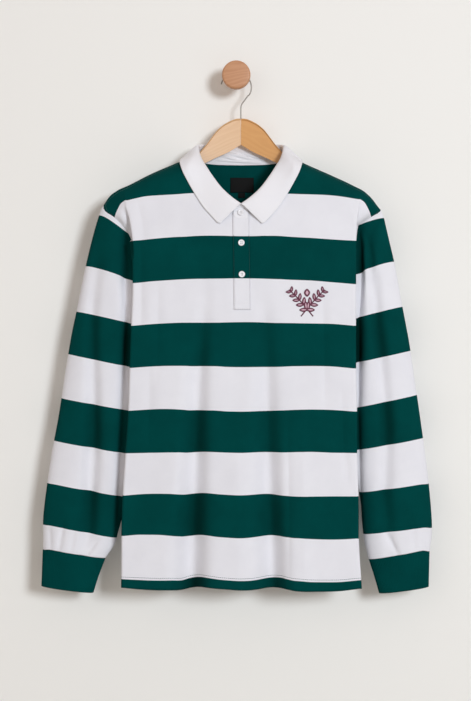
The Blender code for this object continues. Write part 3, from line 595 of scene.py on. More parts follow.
# How much shade is painted into the green for each metre that a hanging fold draws the cloth back.
PAINTED_FOLD_SHADE = {"front": (33, 18), "back": (14, 14, 14)}
SHARP_CREASE = 0.003         # a crease deeper than this gets shade painted into the green too


def painted_fold_shade(face, x, drop):
    """How much shade is painted into the green: 0 on open cloth, 1 deep in a hanging fold or a
    sharp crease.
    """
    total = 0 * x
    for rows, strength in zip(FOLDS[face], PAINTED_FOLD_SHADE[face]):
        # The painted shade lies on the fold's left flank, which faces away from the light, and is
        # narrower than the fold.
        wide = read(rows, "wide", drop)
        offset = (x - read(rows, "x", drop) - 0.3 * wide) / wide / 0.75
        total = total + strength * read(rows, "deep", drop) * np.exp(-offset ** 2)
    sharp = relief(CREASES[face], x, drop) - SHARP_CREASE
    return np.clip(total + np.clip(sharp, 0, None) / 0.012, 0, 1)


# ---- the sleeves' form -------------------------------------------------------------------
def tube_shares(columns):
    """For each column round a tube: its share of the width from the outer line, and its
    share of the depth, negative in front."""
    turn = 2 * math.pi * np.arange(columns) / columns
    depth = np.sin(turn)
    return (1 - np.cos(turn)) / 2, -np.sign(depth) * abs(depth) ** 0.8


def armhole_points(side, share, depth):
    """Points on the armhole, share being 0 at the shoulder tip and 1 under the arm."""
    edge = ([side], [1], [1])
    rows = UNDERARM_DOWN * share
    front, back = (panel_points(face, *edge, rows)[:, 0] for face in ("front", "back"))
    back_share = np.where(abs(depth) < 0.01, 0.5, depth > 0)[:, None]
    return front + (back - front) * back_share - np.array((side * SEAM_GAP, 0, -SEAM_GAP))


# The long soft fold at each ring of the table: where it lies, as a share from the outer line, how
# deep it is, and how much shade is painted into the green in it.
SleeveFold = namedtuple("SleeveFold", "share deep shade")
SLEEVE_FOLD = {
    RIGHT: SleeveFold((0.05, 0.08, 0.115, 0.215, 0.375, 0.48, 0.54, 0.62, 0.64),
                      (0.000, 0.002, 0.003, 0.0055, 0.0075, 0.0130, 0.0140, 0.0080, 0.003),
                      (0, 0, 0.1, 0.4, 0.45, 0.55, 0.60, 0.40, 0)),
    LEFT: SleeveFold((0.06, 0.14, 0.33, 0.445, 0.475, 0.495, 0.63, 0.64, 0.66),
                     (0.000, 0.004, 0.006, 0.0070, 0.0075, 0.0075, 0.0070, 0.0040, 0.002),
                     (0, 0.1, 0.35, 0.55, 0.65, 0.65, 0.30, 0.10, 0)),
}


def sleeve_painted_shade(side, down, columns, points):
    """How much shade is painted into the green: 0 on open cloth, 1 deep in a fold of the sleeve."""
    fold = SLEEVE_FOLD[side]
    number = np.asarray(down)[:, None] * RING_STEPS
    share, depth = tube_shares(columns)
    rings = range(RING_STEPS + 1)
    middle = np.interp(number, rings, fold.share) - side * 0.04
    total = np.interp(number, rings, fold.shade) * hump(share, middle, 0.09)
    if side == RIGHT:
        # Painted shade under the shoulder, where the armhole's front edge stands off the sleeve.
        total = total + 1.1 * np.exp(-((share - 0.95) / 0.09) ** 2 - ((number - 1.0) / 0.7) ** 2)
    sharp = relief(SLEEVE_CREASES[side], *x_and_drop(points)) - SHARP_CREASE
    return np.clip((total + np.clip(sharp, 0, None) / 0.010) * (depth < 0), 0, 1)


OUTER_DIP = {RIGHT: 0.0033, LEFT: 0.0050}


def outer_dip(side, share, near):
    """How much lower the cuff's seam and the last stripes lie at a sleeve's outer line."""
    return OUTER_DIP[side] * hump(share, 0, 0.085) * np.clip(near, 0, 1)


def tube_rings(table, number, share):
    """x and drop of a tube's rings by their number in its table, and all its columns there."""
    at = {column: station(table, column, number) for column in table[0]._fields}
    return (at["outer_x"] + (at["inner_x"] - at["outer_x"]) * share,
            at["outer_drop"] + (at["inner_drop"] - at["outer_drop"]) * share, at)


def sleeve_rings(side, number, share, depth):
    """Rings of the plain sleeve, before it meets the armhole and folds."""
    x, drop, at = tube_rings(SLEEVE_ROWS[side], number, share)
    return places(x, at["y"] + at["half_depth"] * depth,
                  drop + outer_dip(side, share, number - (RING_STEPS - 1)))


def sleeve_points(side, down, columns):
    """Rings of a sleeve's outer side, down being 0 at the armhole and 1 at the cuff."""
    number = np.asarray(down)[:, None] * RING_STEPS
    share, depth = tube_shares(columns)
    points = sleeve_rings(side, number, share, depth)
    fade = np.clip(1 - number / 4, 0, 1)[..., None] ** 2
    points += (armhole_points(side, share, depth) - sleeve_rings(side, 0, share, depth)) * fade
    rings = range(RING_STEPS + 1)
    trough, deep = (np.interp(number, rings, column) for column in SLEEVE_FOLD[side][:2])
    points[..., 1] -= np.sign(depth) * deep * hump(share, trough, 0.092)
    return points


def sleeve_stripe(side, points):
    """Stripe number on a sleeve; odd ones are green."""
    x, drop = x_and_drop(points)
    table = SLEEVE_ROWS[side]
    outer = np.interp(drop, [row.outer_drop for row in table], [row.outer_x for row in table])
    inner = np.interp(drop, [row.inner_drop for row in table], [row.inner_x for row in table])
    inner = side * np.maximum(side * inner, side * side_fold_x(side, drop))
    share = np.clip((x - outer) / (inner - outer), 0, 1.3)
    edges = [at_outer + (at_body - at_outer) * share ** bend
             for (at_outer, at_body), bend in zip(SLEEVE_STRIPES[side], SLEEVE_BEND)]
    edges = [edge + outer_dip(side, share, (row - 5) / 2) * 0.7 for row, edge in enumerate(edges)]
    return stripe_number(drop, edges, 1 + np.minimum((drop - edges[0]) / SLEEVE_STEP, 0))


# ---- the collar's form -------------------------------------------------------------------
def neck_points(table, side, number):
    """Places on the neck's seam or roll, by station number."""
    out, drop, y = (station(table, column, number) for column in NeckRow._fields)
    return places(MIDDLE + side * out, y, drop)


def leaf_edge_points(side, number):
    """The leaf's free edge, held just off the panel under it."""
    x = MIDDLE + side * station(LEAF_EDGE, "out", number)
    drop = station(LEAF_EDGE, "drop", number)
    y = ridge_y(abs(x - MIDDLE))
    over = np.clip(abs(number - NECK_POINT), 0, 1)
    on_panel = np.where(number < NECK_POINT, surface_y("front", x, drop) - LEAF_CLEAR,
                        surface_y("back", x, drop) + LEAF_CLEAR_BACK)
    return places(x, y + (on_panel - y) * over, drop)


def clear_of_panels(points, number):
    """Moves points of the leaf off the front or the back, where they are too near."""
    if number == NECK_POINT:
        return points
    face = "front" if number < NECK_POINT else "back"
    x, y, drop = points[:, 0], points[:, 1], LEAF_CLEAR - points[:, 2]
    over = np.clip((drop - top_of_panel(face, x)[0]) / LEAF_CLEAR, 0, 1)
    short = OUTWARD[face] * (surface_y(face, x, drop) - y) + LEAF_CLEAR
    points[:, 1] += OUTWARD[face] * np.maximum(short, 0) * over
    return points


def placket_middle(drop):
    """x of the placket's middle line, which leans a little to the left."""
    return PLACKET_X + PLACKET_LEAN * (drop - PLACKET_TOP) / (PLACKET_BOTTOM - PLACKET_TOP)


# ---- the cloth's relief ------------------------------------------------------------------
def relief(creases, x, drop):
    """How far creases draw the cloth in (or push it out, below 0)."""
    total = 0 * x
    for crease in creases:
        run_x, run_drop = crease.x2 - crease.x1, crease.drop2 - crease.drop1
        length = math.hypot(run_x, run_drop)
        t = ((x - crease.x1) * run_x + (drop - crease.drop1) * run_drop) / length ** 2
        off = ((x - crease.x1) * run_drop - (drop - crease.drop1) * run_x) / length / crease.wide
        ends = np.sin(math.pi * np.clip(t, 0, 1)) ** 0.7
        total = total + crease.deep * ends * np.exp(-abs(off) ** 1.5)
    return total


def slack(x, drop, seed):
    """Slow unevenness of hanging cloth, longer down than across."""
    sway = np.sin(drop * 9.0 + seed) * 0.7
    coarse = np.sin(x * 47 + 1.9 * sway + seed) * np.sin(drop * 8.5 + 1.4 * np.sin(x * 15 + seed))
    fine = np.sin(x * 121 + 3 * sway + 2 * seed) * np.sin(drop * 21 + 2 * np.sin(x * 23))
    return 0.0009 * coarse + 0.0003 * fine


def lean_outward(face, points):
    """Unit normals of a panel's grid, all on its outer side."""
    normal = normals_of(points)
    return normal * np.where(normal[..., 1:2] * OUTWARD[face] < 0, -1, 1)


def normals_of(points, closed=False):
    """Unit normals of a grid whose rows run down and whose columns run rightwards."""
    down = np.gradient(points, axis=0)
    if closed:
        right = (np.roll(points, -1, axis=1) - np.roll(points, 1, axis=1)) / 2
    else:
        right = np.gradient(points, axis=1)
    normal = np.cross(down, right)
    return normal / np.maximum(np.linalg.norm(normal, axis=-1, keepdims=True), 1e-12)


def soften(points, times):
    """Evens out a grid's sharpest bends and keeps its border."""
    points = points.copy()
    for _ in range(times):
        middle = points[1:-1]
        around = (middle[:, 2:] + middle[:, :-2]) / 2
        upright = (points[2:, 1:-1] + points[:-2, 1:-1]) / 2
        points[1:-1, 1:-1] = middle[:, 1:-1] / 2 + upright / 4 + around / 4
    return points


# ---- sizes and colours that a user would change ------------------------------------------
def linear(code):
    """An sRGB hex colour as linear numbers."""
    parts = [int(code[k:k + 2], 16) / 255 for k in (1, 3, 5)]
    return tuple(p / 12.92 if p <= 0.04045 else ((p + 0.055) / 1.055) ** 2.4 for p in parts)


def length_of(name, description, value):
    """A length that a user may change, in metres."""
    return FloatProperty(name=name, description=description, default=value, min=0.0,
                         subtype="DISTANCE", unit="LENGTH", precision=5)


def colour_of(name, description, code):
    """A colour that a user may change, given as sRGB hex."""
    return FloatVectorProperty(name=name, description=description, default=linear(code),
                               subtype="COLOR", min=0.0, max=1.0)


class ShirtSizes(bpy.types.PropertyGroup):
    cloth_wall: length_of("Jersey", "Thickness of the heavy cotton jersey", 0.0012)
    collar_wall: length_of("Twill", "Thickness of the collar's two layers of twill", 0.0016)
    rib_wall: length_of("Rib", "Thickness of the knitted rib", 0.0018)
    rib_pitch: length_of("Rib pitch", "Width of one rib of the cuffs", 0.0028)
    rib_height: length_of("Rib height", "How far the ribs stand out", 0.0004)
    knit_pitch: length_of("Knit pitch", "Width of a stitch column of the jersey", 0.0016)
    stitch_pitch: length_of("Stitch pitch", "Length from stitch to stitch", 0.0034)
    thread: length_of("Thread", "Diameter of the sewing thread", 0.0006)
    grain_pitch: length_of("Grain pitch", "Width of one growth ring in the wood", 0.0030)


class ShirtColours(bpy.types.PropertyGroup):
    green: colour_of("Green", "Bottle green jersey and rib", "#004644")
    green_deep: colour_of("Deep green", "The green where the dye took deeper", "#003836")
    # Painted shade: the dark green that stands in for the shade inside deep folds.
    green_painted_shade: colour_of("Fold green", "The green inside a deep fold", "#00221f")
    white: colour_of("White", "White jersey", "#e9e9ee")
    white_deep: colour_of("White shade", "White jersey where it has greyed", "#dedee4")
    twill: colour_of("Twill", "Collar and buttons", "#ebeaed")
    maroon: colour_of("Maroon", "Embroidery thread", "#642640")
    outline: colour_of("Outline", "Pale filling of the embroidery", "#d8b4c2")
    label: colour_of("Label", "Woven label in the neck", "#0a0b0b")
    # Painted light and shade: the hanger's halves are one beech, given a lighter and a darker copy
    # for how each half faces the light.
    wood_painted_lit: colour_of("Pale wood", "Lighter half of the hanger", "#d5aa79")
    wood_painted_shaded: colour_of("Warm wood", "Darker half of the hanger", "#d8a061")
    peg_wood: colour_of("Peg wood", "Turned wall peg", "#c38e67")
    steel: colour_of("Steel", "Wire of the hook", "#8e8983")
    wall: colour_of("Wall", "Painted backdrop", "#efeeea")


def sizes():
    """The shirt's sizes, as they stand in the panel."""
    return bpy.context.scene.shirt_sizes


def colours():
    """The shirt's colours, as they stand in the panel."""
    return bpy.context.scene.shirt_colours


# ---- materials ---------------------------------------------------------------------------
WAVE_METRE = 0.314           # a wave texture of this scale draws one line to the metre


def feed(tree, made, sockets):
    """Links each input that is given an output socket, and sets any other."""
    for key, value in sockets.items():
        if isinstance(value, bpy.types.NodeSocket):
            tree.links.new(value, made.inputs[key])
        else:
            made.inputs[key].default_value = value


def node(tree, kind, sockets=None, **settings):
    """Adds a node with its settings and its sockets' links and values."""
    made = tree.nodes.new(kind)
    for name, value in settings.items():
        setattr(made, name, value)
    feed(tree, made, sockets or {})
    return made


def start_material(name, sockets):
    """A new material with its shader's own values set; gives it, the tree and the shader."""
    made = bpy.data.materials.new(name)
    made.use_nodes = True
    tree = made.node_tree
    shader = tree.nodes["Principled BSDF"]
    feed(tree, shader, sockets)
    return made, tree, shader


def rgba(colour):
    """A colour with full cover, as a shader's socket takes it."""
    return (*colour, 1)


def by_stripe(tree, pale, green):
    """The pale colour on even stripes and the green on odd ones."""
    stripe = node(tree, "ShaderNodeAttribute", attribute_name="stripe")
    turn = node(tree, "ShaderNodeMath", {0: stripe.outputs["Fac"], 1: 2.0},
                operation="FLOORED_MODULO")
    odd = node(tree, "ShaderNodeMath", {0: turn.outputs[0], 1: 1.0}, operation="GREATER_THAN")
    both = node(tree, "ShaderNodeMix", {0: odd.outputs[0], 6: pale, 7: green}, data_type="RGBA")
    return both.outputs[2]


def woven_relief(tree, way, pitch, strength, distance, **more):
    """Raised lines a pitch apart along the cloth's own map, for a shader's Normal."""
    cloth_map = node(tree, "ShaderNodeUVMap", uv_map="cloth")
    lines = node(tree, "ShaderNodeTexWave", {"Vector": cloth_map.outputs[0],
                                             "Scale": WAVE_METRE / pitch, **more},
                 bands_direction=way)
    bump = node(tree, "ShaderNodeBump", {"Height": lines.outputs["Fac"], "Strength": strength,
                                         "Distance": distance})
    return bump.outputs[0]


def jersey_material(name, striped=True):
    """Heavy cotton jersey, piece dyed: fine stitch columns, slight fuzz, faintly uneven dye, and
    shade painted into the green inside folds.
    """
    made, tree, shader = start_material(name, {
        "Roughness": 0.86, "Sheen Weight": 0.005, "Sheen Roughness": 0.45,
        "Specular IOR Level": 0.025})
    place = node(tree, "ShaderNodeTexCoord")
    cloud = node(tree, "ShaderNodeTexNoise", {"Vector": place.outputs["Object"], "Scale": 22.0,
                                              "Detail": 4.0, "Roughness": 0.6})
    dye = node(tree, "ShaderNodeMix", {0: cloud.outputs["Fac"], 6: rgba(colours().green_deep),
                                       7: rgba(colours().green)}, data_type="RGBA")
    colour = dye.outputs[2]
    if striped:
        # Shade is painted into the green inside folds and sharp creases: the fold layer mixes it
        # towards the darker green.
        folded = node(tree, "ShaderNodeAttribute", attribute_name="fold")
        greens_with_painted_shade = node(tree, "ShaderNodeMix", {0: folded.outputs["Fac"], 6: colour,
                                              7: rgba(colours().green_painted_shade)}, data_type="RGBA")
        whites = node(tree, "ShaderNodeMix", {0: cloud.outputs["Fac"],
                                              6: rgba(colours().white_deep),
                                              7: rgba(colours().white)}, data_type="RGBA")
        colour = by_stripe(tree, whites.outputs[2], greens_with_painted_shade.outputs[2])
    cloth_map = node(tree, "ShaderNodeUVMap", uv_map="cloth")
    # The wave's scale isn't rounded here, because the knit runs over the whole cloth.
    columns = 2 * math.pi / 20 / sizes().knit_pitch
    wales, courses = (
        node(tree, "ShaderNodeTexWave", {"Vector": cloth_map.outputs[0], "Scale": scale,
                                         "Distortion": 0.6, "Detail": 1.0}, bands_direction=way)
        for way, scale in (("X", columns), ("Y", columns * 1.2)))
    knit = node(tree, "ShaderNodeMath", {0: wales.outputs["Fac"], 1: courses.outputs["Fac"]},
                operation="MULTIPLY")
    fuzz = node(tree, "ShaderNodeTexNoise", {"Vector": place.outputs["Object"], "Scale": 700.0,
                                             "Detail": 2.0})
    height = node(tree, "ShaderNodeMath", {0: knit.outputs[0], 1: fuzz.outputs["Fac"]},
                  operation="ADD")
    bump = node(tree, "ShaderNodeBump", {"Height": height.outputs[0], "Strength": 0.35,
                                         "Distance": 0.0004})
    feed(tree, shader, {"Base Color": colour, "Normal": bump.outputs[0]})
    return made


def rib_material():
    """Knitted cotton rib: solid bottle green, with the jersey's fine stitches and fuzz."""
    return jersey_material("knitted cotton rib", striped=False)


def twill_material():
    """Bleached cotton twill: fine slanting ribs, crisper and smoother than the jersey."""
    made, tree, shader = start_material("bleached cotton twill", {
        "Roughness": 0.78, "Sheen Weight": 0.08, "Specular IOR Level": 0.3})
    place = node(tree, "ShaderNodeTexCoord")
    cloud = node(tree, "ShaderNodeTexNoise", {"Vector": place.outputs["Object"], "Scale": 30.0,
                                              "Detail": 3.0})
    tone = node(tree, "ShaderNodeMix", {0: cloud.outputs["Fac"], 6: rgba(colours().white),
                                        7: rgba(colours().twill)}, data_type="RGBA")
    # Twill lines are drawn 1.2 mm apart, twice the real spacing, so that they show.
    relief_lines = woven_relief(tree, "DIAGONAL", 0.0012, 0.3, 0.0003, Distortion=0.4)
    feed(tree, shader, {"Base Color": tone.outputs[2], "Normal": relief_lines})
    return made


def thread_material():
    """Cotton sewing thread: a soft shine, in the colour of the stripe that it holds."""
    made, tree, shader = start_material("cotton thread", {"Roughness": 0.5, "Sheen Weight": 0.1})
    place = node(tree, "ShaderNodeTexCoord")
    twist = node(tree, "ShaderNodeTexNoise", {"Vector": place.outputs["Object"], "Scale": 900.0})
    bump = node(tree, "ShaderNodeBump", {"Height": twist.outputs["Fac"], "Strength": 0.3,
                                         "Distance": 0.0002})
    colour = by_stripe(tree, rgba(colours().twill), rgba(colours().green))
    feed(tree, shader, {"Base Color": colour, "Normal": bump.outputs[0]})
    return made


def button_material():
    """Pressed polyester: milky white, smooth, with a small sharp shine."""
    return start_material("pressed polyester button", {
        "Base Color": rgba(colours().twill), "Roughness": 0.28})[0]


def ribbon_material():
    """Woven satin ribbon: flat, near black, with fine cross threads and little shine."""
    made, tree, shader = start_material("woven satin ribbon", {
        "Base Color": rgba(colours().label), "Roughness": 0.6, "Specular IOR Level": 0.12})
    # Ribbon threads are drawn 0.8 mm apart, coarser than real, so that they show.
    feed(tree, shader, {"Normal": woven_relief(tree, "Y", 0.0008, 0.3, 0.0002)})
    return made


def embroidery_material(name, colour):
    """Rayon embroidery thread: smooth and lustrous, laid in close satin stitches."""
    made, tree, shader = start_material("rayon embroidery thread " + name, {
        "Base Color": rgba(colour), "Roughness": 0.38})
    # Satin stitches are drawn 0.7 mm apart, coarser than real, so that they show.
    feed(tree, shader, {"Normal": woven_relief(tree, "Y", 0.0007, 0.5, 0.0003)})
    return made


def wood_material(name, colour, turn, dark=(0.92, 0.86, 0.78), roughness=0.42, pitch=2.4,
                  wild=18.0, stretch=6.0):
    """Beech, sanded and clear lacquered: narrow darker rings and short pores along the grain."""
    made, tree, shader = start_material(name, {
        "Roughness": roughness, "Coat Weight": 0.25, "Coat Roughness": 0.3})
    place = node(tree, "ShaderNodeTexCoord")
    turned = node(tree, "ShaderNodeMapping", {"Vector": place.outputs["Object"],
                                              "Rotation": (0.0, turn, 0.0),
                                              "Scale": (stretch, 1.0, 1.0)},
                  vector_type="TEXTURE")
    sway = node(tree, "ShaderNodeTexNoise", {"Vector": turned.outputs[0], "Scale": 120.0,
                                             "Detail": 4.0})
    rings = node(tree, "ShaderNodeTexWave", {"Vector": turned.outputs[0],
                                             "Scale": WAVE_METRE / sizes().grain_pitch / pitch,
                                             "Distortion": wild, "Detail": 3.0,
                                             "Detail Scale": 0.8}, bands_direction="Z")
    grain = node(tree, "ShaderNodeMath", {0: rings.outputs["Fac"], 1: sway.outputs["Fac"]},
                 operation="MULTIPLY")
    late = tuple(part * share for part, share in zip(colour, dark))
    tone = node(tree, "ShaderNodeMix", {0: grain.outputs[0], 6: rgba(colour), 7: rgba(late)},
                data_type="RGBA")
    pores = node(tree, "ShaderNodeTexNoise", {"Vector": turned.outputs[0], "Scale": 1400.0})
    bump = node(tree, "ShaderNodeBump", {"Height": pores.outputs["Fac"], "Strength": 0.15,
                                         "Distance": 0.0002})
    feed(tree, shader, {"Base Color": tone.outputs[2], "Normal": bump.outputs[0]})
    return made


def steel_material():
    """Polished steel wire: bright, with patches that handling has dulled."""
    made, tree, shader = start_material("polished steel wire", {
        "Base Color": rgba(colours().steel), "Metallic": 1.0})
    place = node(tree, "ShaderNodeTexCoord")
    wear = node(tree, "ShaderNodeTexNoise", {"Vector": place.outputs["Object"], "Scale": 260.0})
    rough = node(tree, "ShaderNodeMapRange", {"Value": wear.outputs["Fac"], "To Min": 0.32,
                                              "To Max": 0.5})
    feed(tree, shader, {"Roughness": rough.outputs[0]})
    return made


# ---- building blocks ---------------------------------------------------------------------
def link(name, data):
    """Puts a mesh, curve, light or camera in the scene as an object."""
    piece = bpy.data.objects.new(name, data)
    bpy.context.scene.collection.objects.link(piece)
    return piece


def grid_steps(points, closed):
    """A grid, closed if it is a tube, and the lengths of its steps across and down."""
    ring = np.concatenate((points, points[:, :1]), axis=1) if closed else points
    return (ring, *(np.linalg.norm(np.diff(ring, axis=axis), axis=-1) for axis in (1, 0)))


def cloth_map_of(points, closed):
    """How far along the cloth each point of a grid lies, in metres, for its weave."""
    ring, right, down = grid_steps(points, closed)
    across = np.concatenate((np.zeros((len(ring), 1)), np.cumsum(right, axis=1)), axis=1)
    across -= across[:, ring.shape[1] // 2, None]
    down = np.cumsum(down, axis=0)
    down = np.concatenate((np.zeros((1, ring.shape[1])), down), axis=0)
    return np.stack((across, down[-1:] - down), axis=-1)


def sheet_mesh(name, points, closed=False, flip=False, **layers):
    """A mesh of one sheet. Rows run down, and points run rightwards seen from outside. Each
    layer is a value per point that a material reads by its name."""
    rows, width = points.shape[:2]
    last = width if closed else width - 1
    steps = np.meshgrid(np.arange(rows - 1), np.arange(last), indexing="ij")
    r, c = (step.ravel() for step in steps)
    corners = [(r, c), (r + 1, c), (r + 1, c + 1), (r, c + 1)]
    if flip:
        corners = corners[::-1]
    faces = np.stack([row * width + column % width for row, column in corners], axis=-1)
    mesh = bpy.data.meshes.new(name)
    mesh.from_pydata(points.reshape(-1, 3).tolist(), [], faces.tolist())
    cloth_map = cloth_map_of(points, closed)
    flat = np.stack([cloth_map[row, column] for row, column in corners], axis=1)
    mesh.uv_layers.new(name="cloth").data.foreach_set("uv", flat.ravel())
    for layer_name, values in layers.items():
        add_layer(mesh, layer_name, values)
    mesh.shade_smooth()
    return mesh


def add_layer(mesh, name, values):
    """Stores a value per point, which a material reads by its name."""
    layer = mesh.attributes.new(name, "FLOAT", "POINT")
    layer.data.foreach_set("value", np.asarray(values, float).ravel())


def mesh_of(form, name, sharp=None):
    """Turns a form into a mesh; with sharp, smooth up to that many degrees."""
    mesh = bpy.data.meshes.new(name)
    form.to_mesh(mesh)
    form.free()
    if sharp:
        shade(mesh, sharp)
    return mesh


def shade(mesh, sharp):
    """Smooth shading, with the edges sharper than so many degrees left crisp."""
    mesh.shade_smooth()
    mesh.set_sharp_from_angle(angle=math.radians(sharp))


def plain_mesh(piece):
    """The mesh that a curve or an object with modifiers comes to; the object itself goes."""
    graph = bpy.context.evaluated_depsgraph_get()
    mesh = bpy.data.meshes.new_from_object(piece.evaluated_get(graph))
    bpy.data.objects.remove(piece)
    return mesh


def turned_form(profile, count):
    """A form turned round the y axis from a profile of (radius, how far out)."""
    form = bmesh.new()
    rings = []
    for radius, out in profile:
        ways = [2 * math.pi * k / count for k in range(count if radius else 1)]
        rings.append([form.verts.new((radius * math.cos(way), -out, radius * math.sin(way)))
                      for way in ways])
    for ring, after in zip(rings, rings[1:]):
        for k in range(count):
            corners = [ring[k % len(ring)], ring[(k + 1) % len(ring)],
                       after[(k + 1) % len(after)], after[k % len(after)]]
            form.faces.new([v for i, v in enumerate(corners) if v not in corners[:i]])
    bmesh.ops.recalc_face_normals(form, faces=form.faces)
    return form


def add_wall(piece, thickness):
    """Gives a sheet its thickness, inwards."""
    wall = piece.modifiers.new("wall", "SOLIDIFY")
    wall.thickness = thickness
    wall.offset = -1


def settle(piece, slot, *nodes):
    """Puts a finished piece on the body and hides the nodes that it stands for. Its slot is not
    used.
    """
    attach(piece, "root")
    if nodes:
        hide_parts(*nodes)
    return piece


def walled(name, points, material, wall, closed=False, flip=False, **layers):
    """A piece made from a grid, with its material and the thickness of its wall."""
    piece = link(name, sheet_mesh(name, points, closed, flip, **layers))
    piece.data.materials.append(material)
    add_wall(piece, wall)
    return piece


def finish_cloth(name, points, material, slot, nodes, wall, held, rests_on, closed=False,
                 flip=False, **layers):
    """Makes a grid a walled sheet of cloth and settles it. Its held and rests_on are not used."""
    piece = walled(name, points, material, wall, closed, flip, **layers)
    settle(piece, slot, *nodes)


# ---- front and back ----------------------------------------------------------------------
def panel_columns():
    """Columns from the right side seam to the left one: across, turn and past."""
    flat, bent, side = 231, 4, 18    # columns on the face, round a fold and past it
    turn = np.linspace(1, 0, bent + 1)[:-1]
    past = np.linspace(1, 0, side + 1)[:-1]
    edge = np.ones(bent + side)
    across = np.concatenate((-edge, np.linspace(-1, 1, flat), edge))
    turns = np.concatenate((np.ones(side), turn, np.zeros(flat), turn[::-1], np.ones(side)))
    pasts = np.concatenate((past, np.zeros(bent + flat + bent), past[::-1]))
    return across, turns, pasts


def panel_rows():
    """Rows from the top edge (0) to the hem (1), closer together over the shoulder's roll."""
    roll = 0.05 * (np.arange(12) / 12) ** 2
    return np.concatenate((roll, np.linspace(0.05, 1, 156)))


def panel(face):
    """The creased points of a panel, the stripe number of each and the shade painted into its green
    in folds.
    """
    across, turn, past = panel_columns()
    points = panel_points(face, across, turn, past, panel_rows())
    x, drop = x_and_drop(points)
    stripe = body_stripe(face, across, x, drop)
    depth = relief(CREASES[face], x, drop) + slack(x, drop, SLACK_SEED[face])
    # Creases fade out towards the top edge and the side seams, where the cloth is sewn.
    firm = smooth_step(0, 0.05, drop - drop[0]) * (1 - past ** 2)
    # Shade painted into the green inside folds, fading out as the creases do.
    fold = painted_fold_shade(face, x, drop) * firm
    return points - lean_outward(face, points) * (depth * firm)[..., None], stripe, fold


class SHIRT_OT_body(bpy.types.Operator):
    """Sews the striped front and back panels with their hanging folds and creases"""
    bl_idname = "shirt.body"
    bl_label = "Front and back"

    def execute(self, context):
        cloth = jersey_material("heavy cotton jersey")
        for face in ("front", "back"):
            points, stripe, fold = panel(face)
            if face == "back":
                # Seen from outside, the back's columns run the other way.
                points, stripe, fold = (grid[:, ::-1] for grid in (points, stripe, fold))
            # The fold layer holds the shade painted into the green.
            finish_cloth("cloth_" + face, points, cloth, "jersey", [face], sizes().cloth_wall,
                         "hung", ["hanger_left", "hanger_right"], stripe=stripe, fold=fold)
        return {"FINISHED"}


# ---- sleeves and cuffs -------------------------------------------------------------------
def tube_outward(points):
    """Unit normals of a tube's grid, away from its middle line."""
    normal = normals_of(points, closed=True)
    inward = ((points - points.mean(axis=1, keepdims=True)) * normal).sum() < 0
    return -normal if inward else normal


def sleeve_sheet(side):
    """The creased points of a sleeve, its outward directions, stripe numbers and the shade painted
    into its folds.
    """
    rows, columns = 170, 128
    even = np.linspace(0, 1, rows)
    down = even ** 1.1
    points = sleeve_points(side, down, columns)
    # How much shade is painted into the green in the sleeve's folds.
    dark = sleeve_painted_shade(side, down, columns, points)
    x, drop = x_and_drop(points)
    outward = tube_outward(points)
    depth = relief(SLEEVE_CREASES[side], x, drop) + slack(x, drop, side + 4.0)
    depth = depth * smooth_step(0, 0.06, even)[:, None]
    return points - outward * depth[..., None], outward, sleeve_stripe(side, points), dark


class SHIRT_OT_sleeves(bpy.types.Operator):
    """Sews the two long striped sleeves, gathered a little at the cuffs"""
    bl_idname = "shirt.sleeves"
    bl_label = "Sleeves"

    def execute(self, context):
        cloth = bpy.data.materials["heavy cotton jersey"]
        for side, name in ((RIGHT, "sleeve_right"), (LEFT, "sleeve_left")):
            points, _, stripe, fold = sleeve_sheet(side)
            # The fold layer holds the shade painted into the green.
            finish_cloth("cloth_" + name, points, cloth, "jersey", [name], sizes().cloth_wall,
                         "hung", ["cloth_front", "cloth_back"], closed=True, flip=side == LEFT,
                         stripe=stripe, fold=fold)
        return {"FINISHED"}


def cuff_points(side):
    """Rings of a cuff, its cloth waved in and out into whole ribs."""
    number = np.linspace(0, 2, 26)[:, None]
    ribs = round(CUFF_ROUND / sizes().rib_pitch)
    share, depth = tube_shares(ribs * 4)
    x, drop, at = tube_rings(CUFF_ROWS[side], number, share)
    drop = drop + outer_dip(side, share, 1 - number)
    points = places(x, CUFF_Y + at["half_depth"] * depth, drop)
    steps = np.linalg.norm(np.diff(points[0], axis=0, append=points[0][:1]), axis=-1)
    around = np.concatenate(([0], np.cumsum(steps)[:-1])) / steps.sum()
    wave = sizes().rib_height * np.cos(around * ribs * 2 * math.pi)
    return points + tube_outward(points) * wave[None, :, None]


class SHIRT_OT_cuffs(bpy.types.Operator):
    """Knits the two ribbed cuffs"""
    bl_idname = "shirt.cuffs"
    bl_label = "Cuffs"

    def execute(self, context):
        rib = rib_material()
        for side, name in ((RIGHT, "cuff_right"), (LEFT, "cuff_left")):
            finish_cloth("rib_" + name, cuff_points(side), rib, "rib", [name],
                         sizes().rib_wall, "hung", ["cloth_" + name.replace("cuff", "sleeve")],
                         closed=True, flip=side == LEFT)
        return {"FINISHED"}


# ---- collar ------------------------------------------------------------------------------
def collar_walk(step):
    """Side and station number in order round the neck, rightwards seen from outside."""
    numbers = np.linspace(0, CENTRE_BACK, round(CENTRE_BACK / step) + 1)
    return [(LEFT, n) for n in numbers] + [(RIGHT, n) for n in numbers[::-1][1:]]


def collar_frame(side, number):
    """The seam, the roll, the leaf's edge, and two directions: up the band, out to the leaf."""
    seam, roll = neck_points(NECK_SEAM, side, number), neck_points(COLLAR_ROLL, side, number)
    edge = leaf_edge_points(side, number)
    up = (roll - seam) / np.linalg.norm(roll - seam)
    out = edge - roll
    out = out - up * out.dot(up)
    return seam, roll, edge, up, out / np.linalg.norm(out)


COLLAR_STEP = 0.05           # from column to column, in stations of the neck
# The leaf's turn over the roll, as steps up and out: first from the band, then from the roll.
TURN_IN = ((0, 0), (0.0016, 0.0005), (0.0026, 0.0016))
TURN_OUT = ((0.0040, 0.0022), (0.0036, 0.0034), (0.0024, 0.0044))
TURN_ROWS = len(TURN_IN) + len(TURN_OUT)


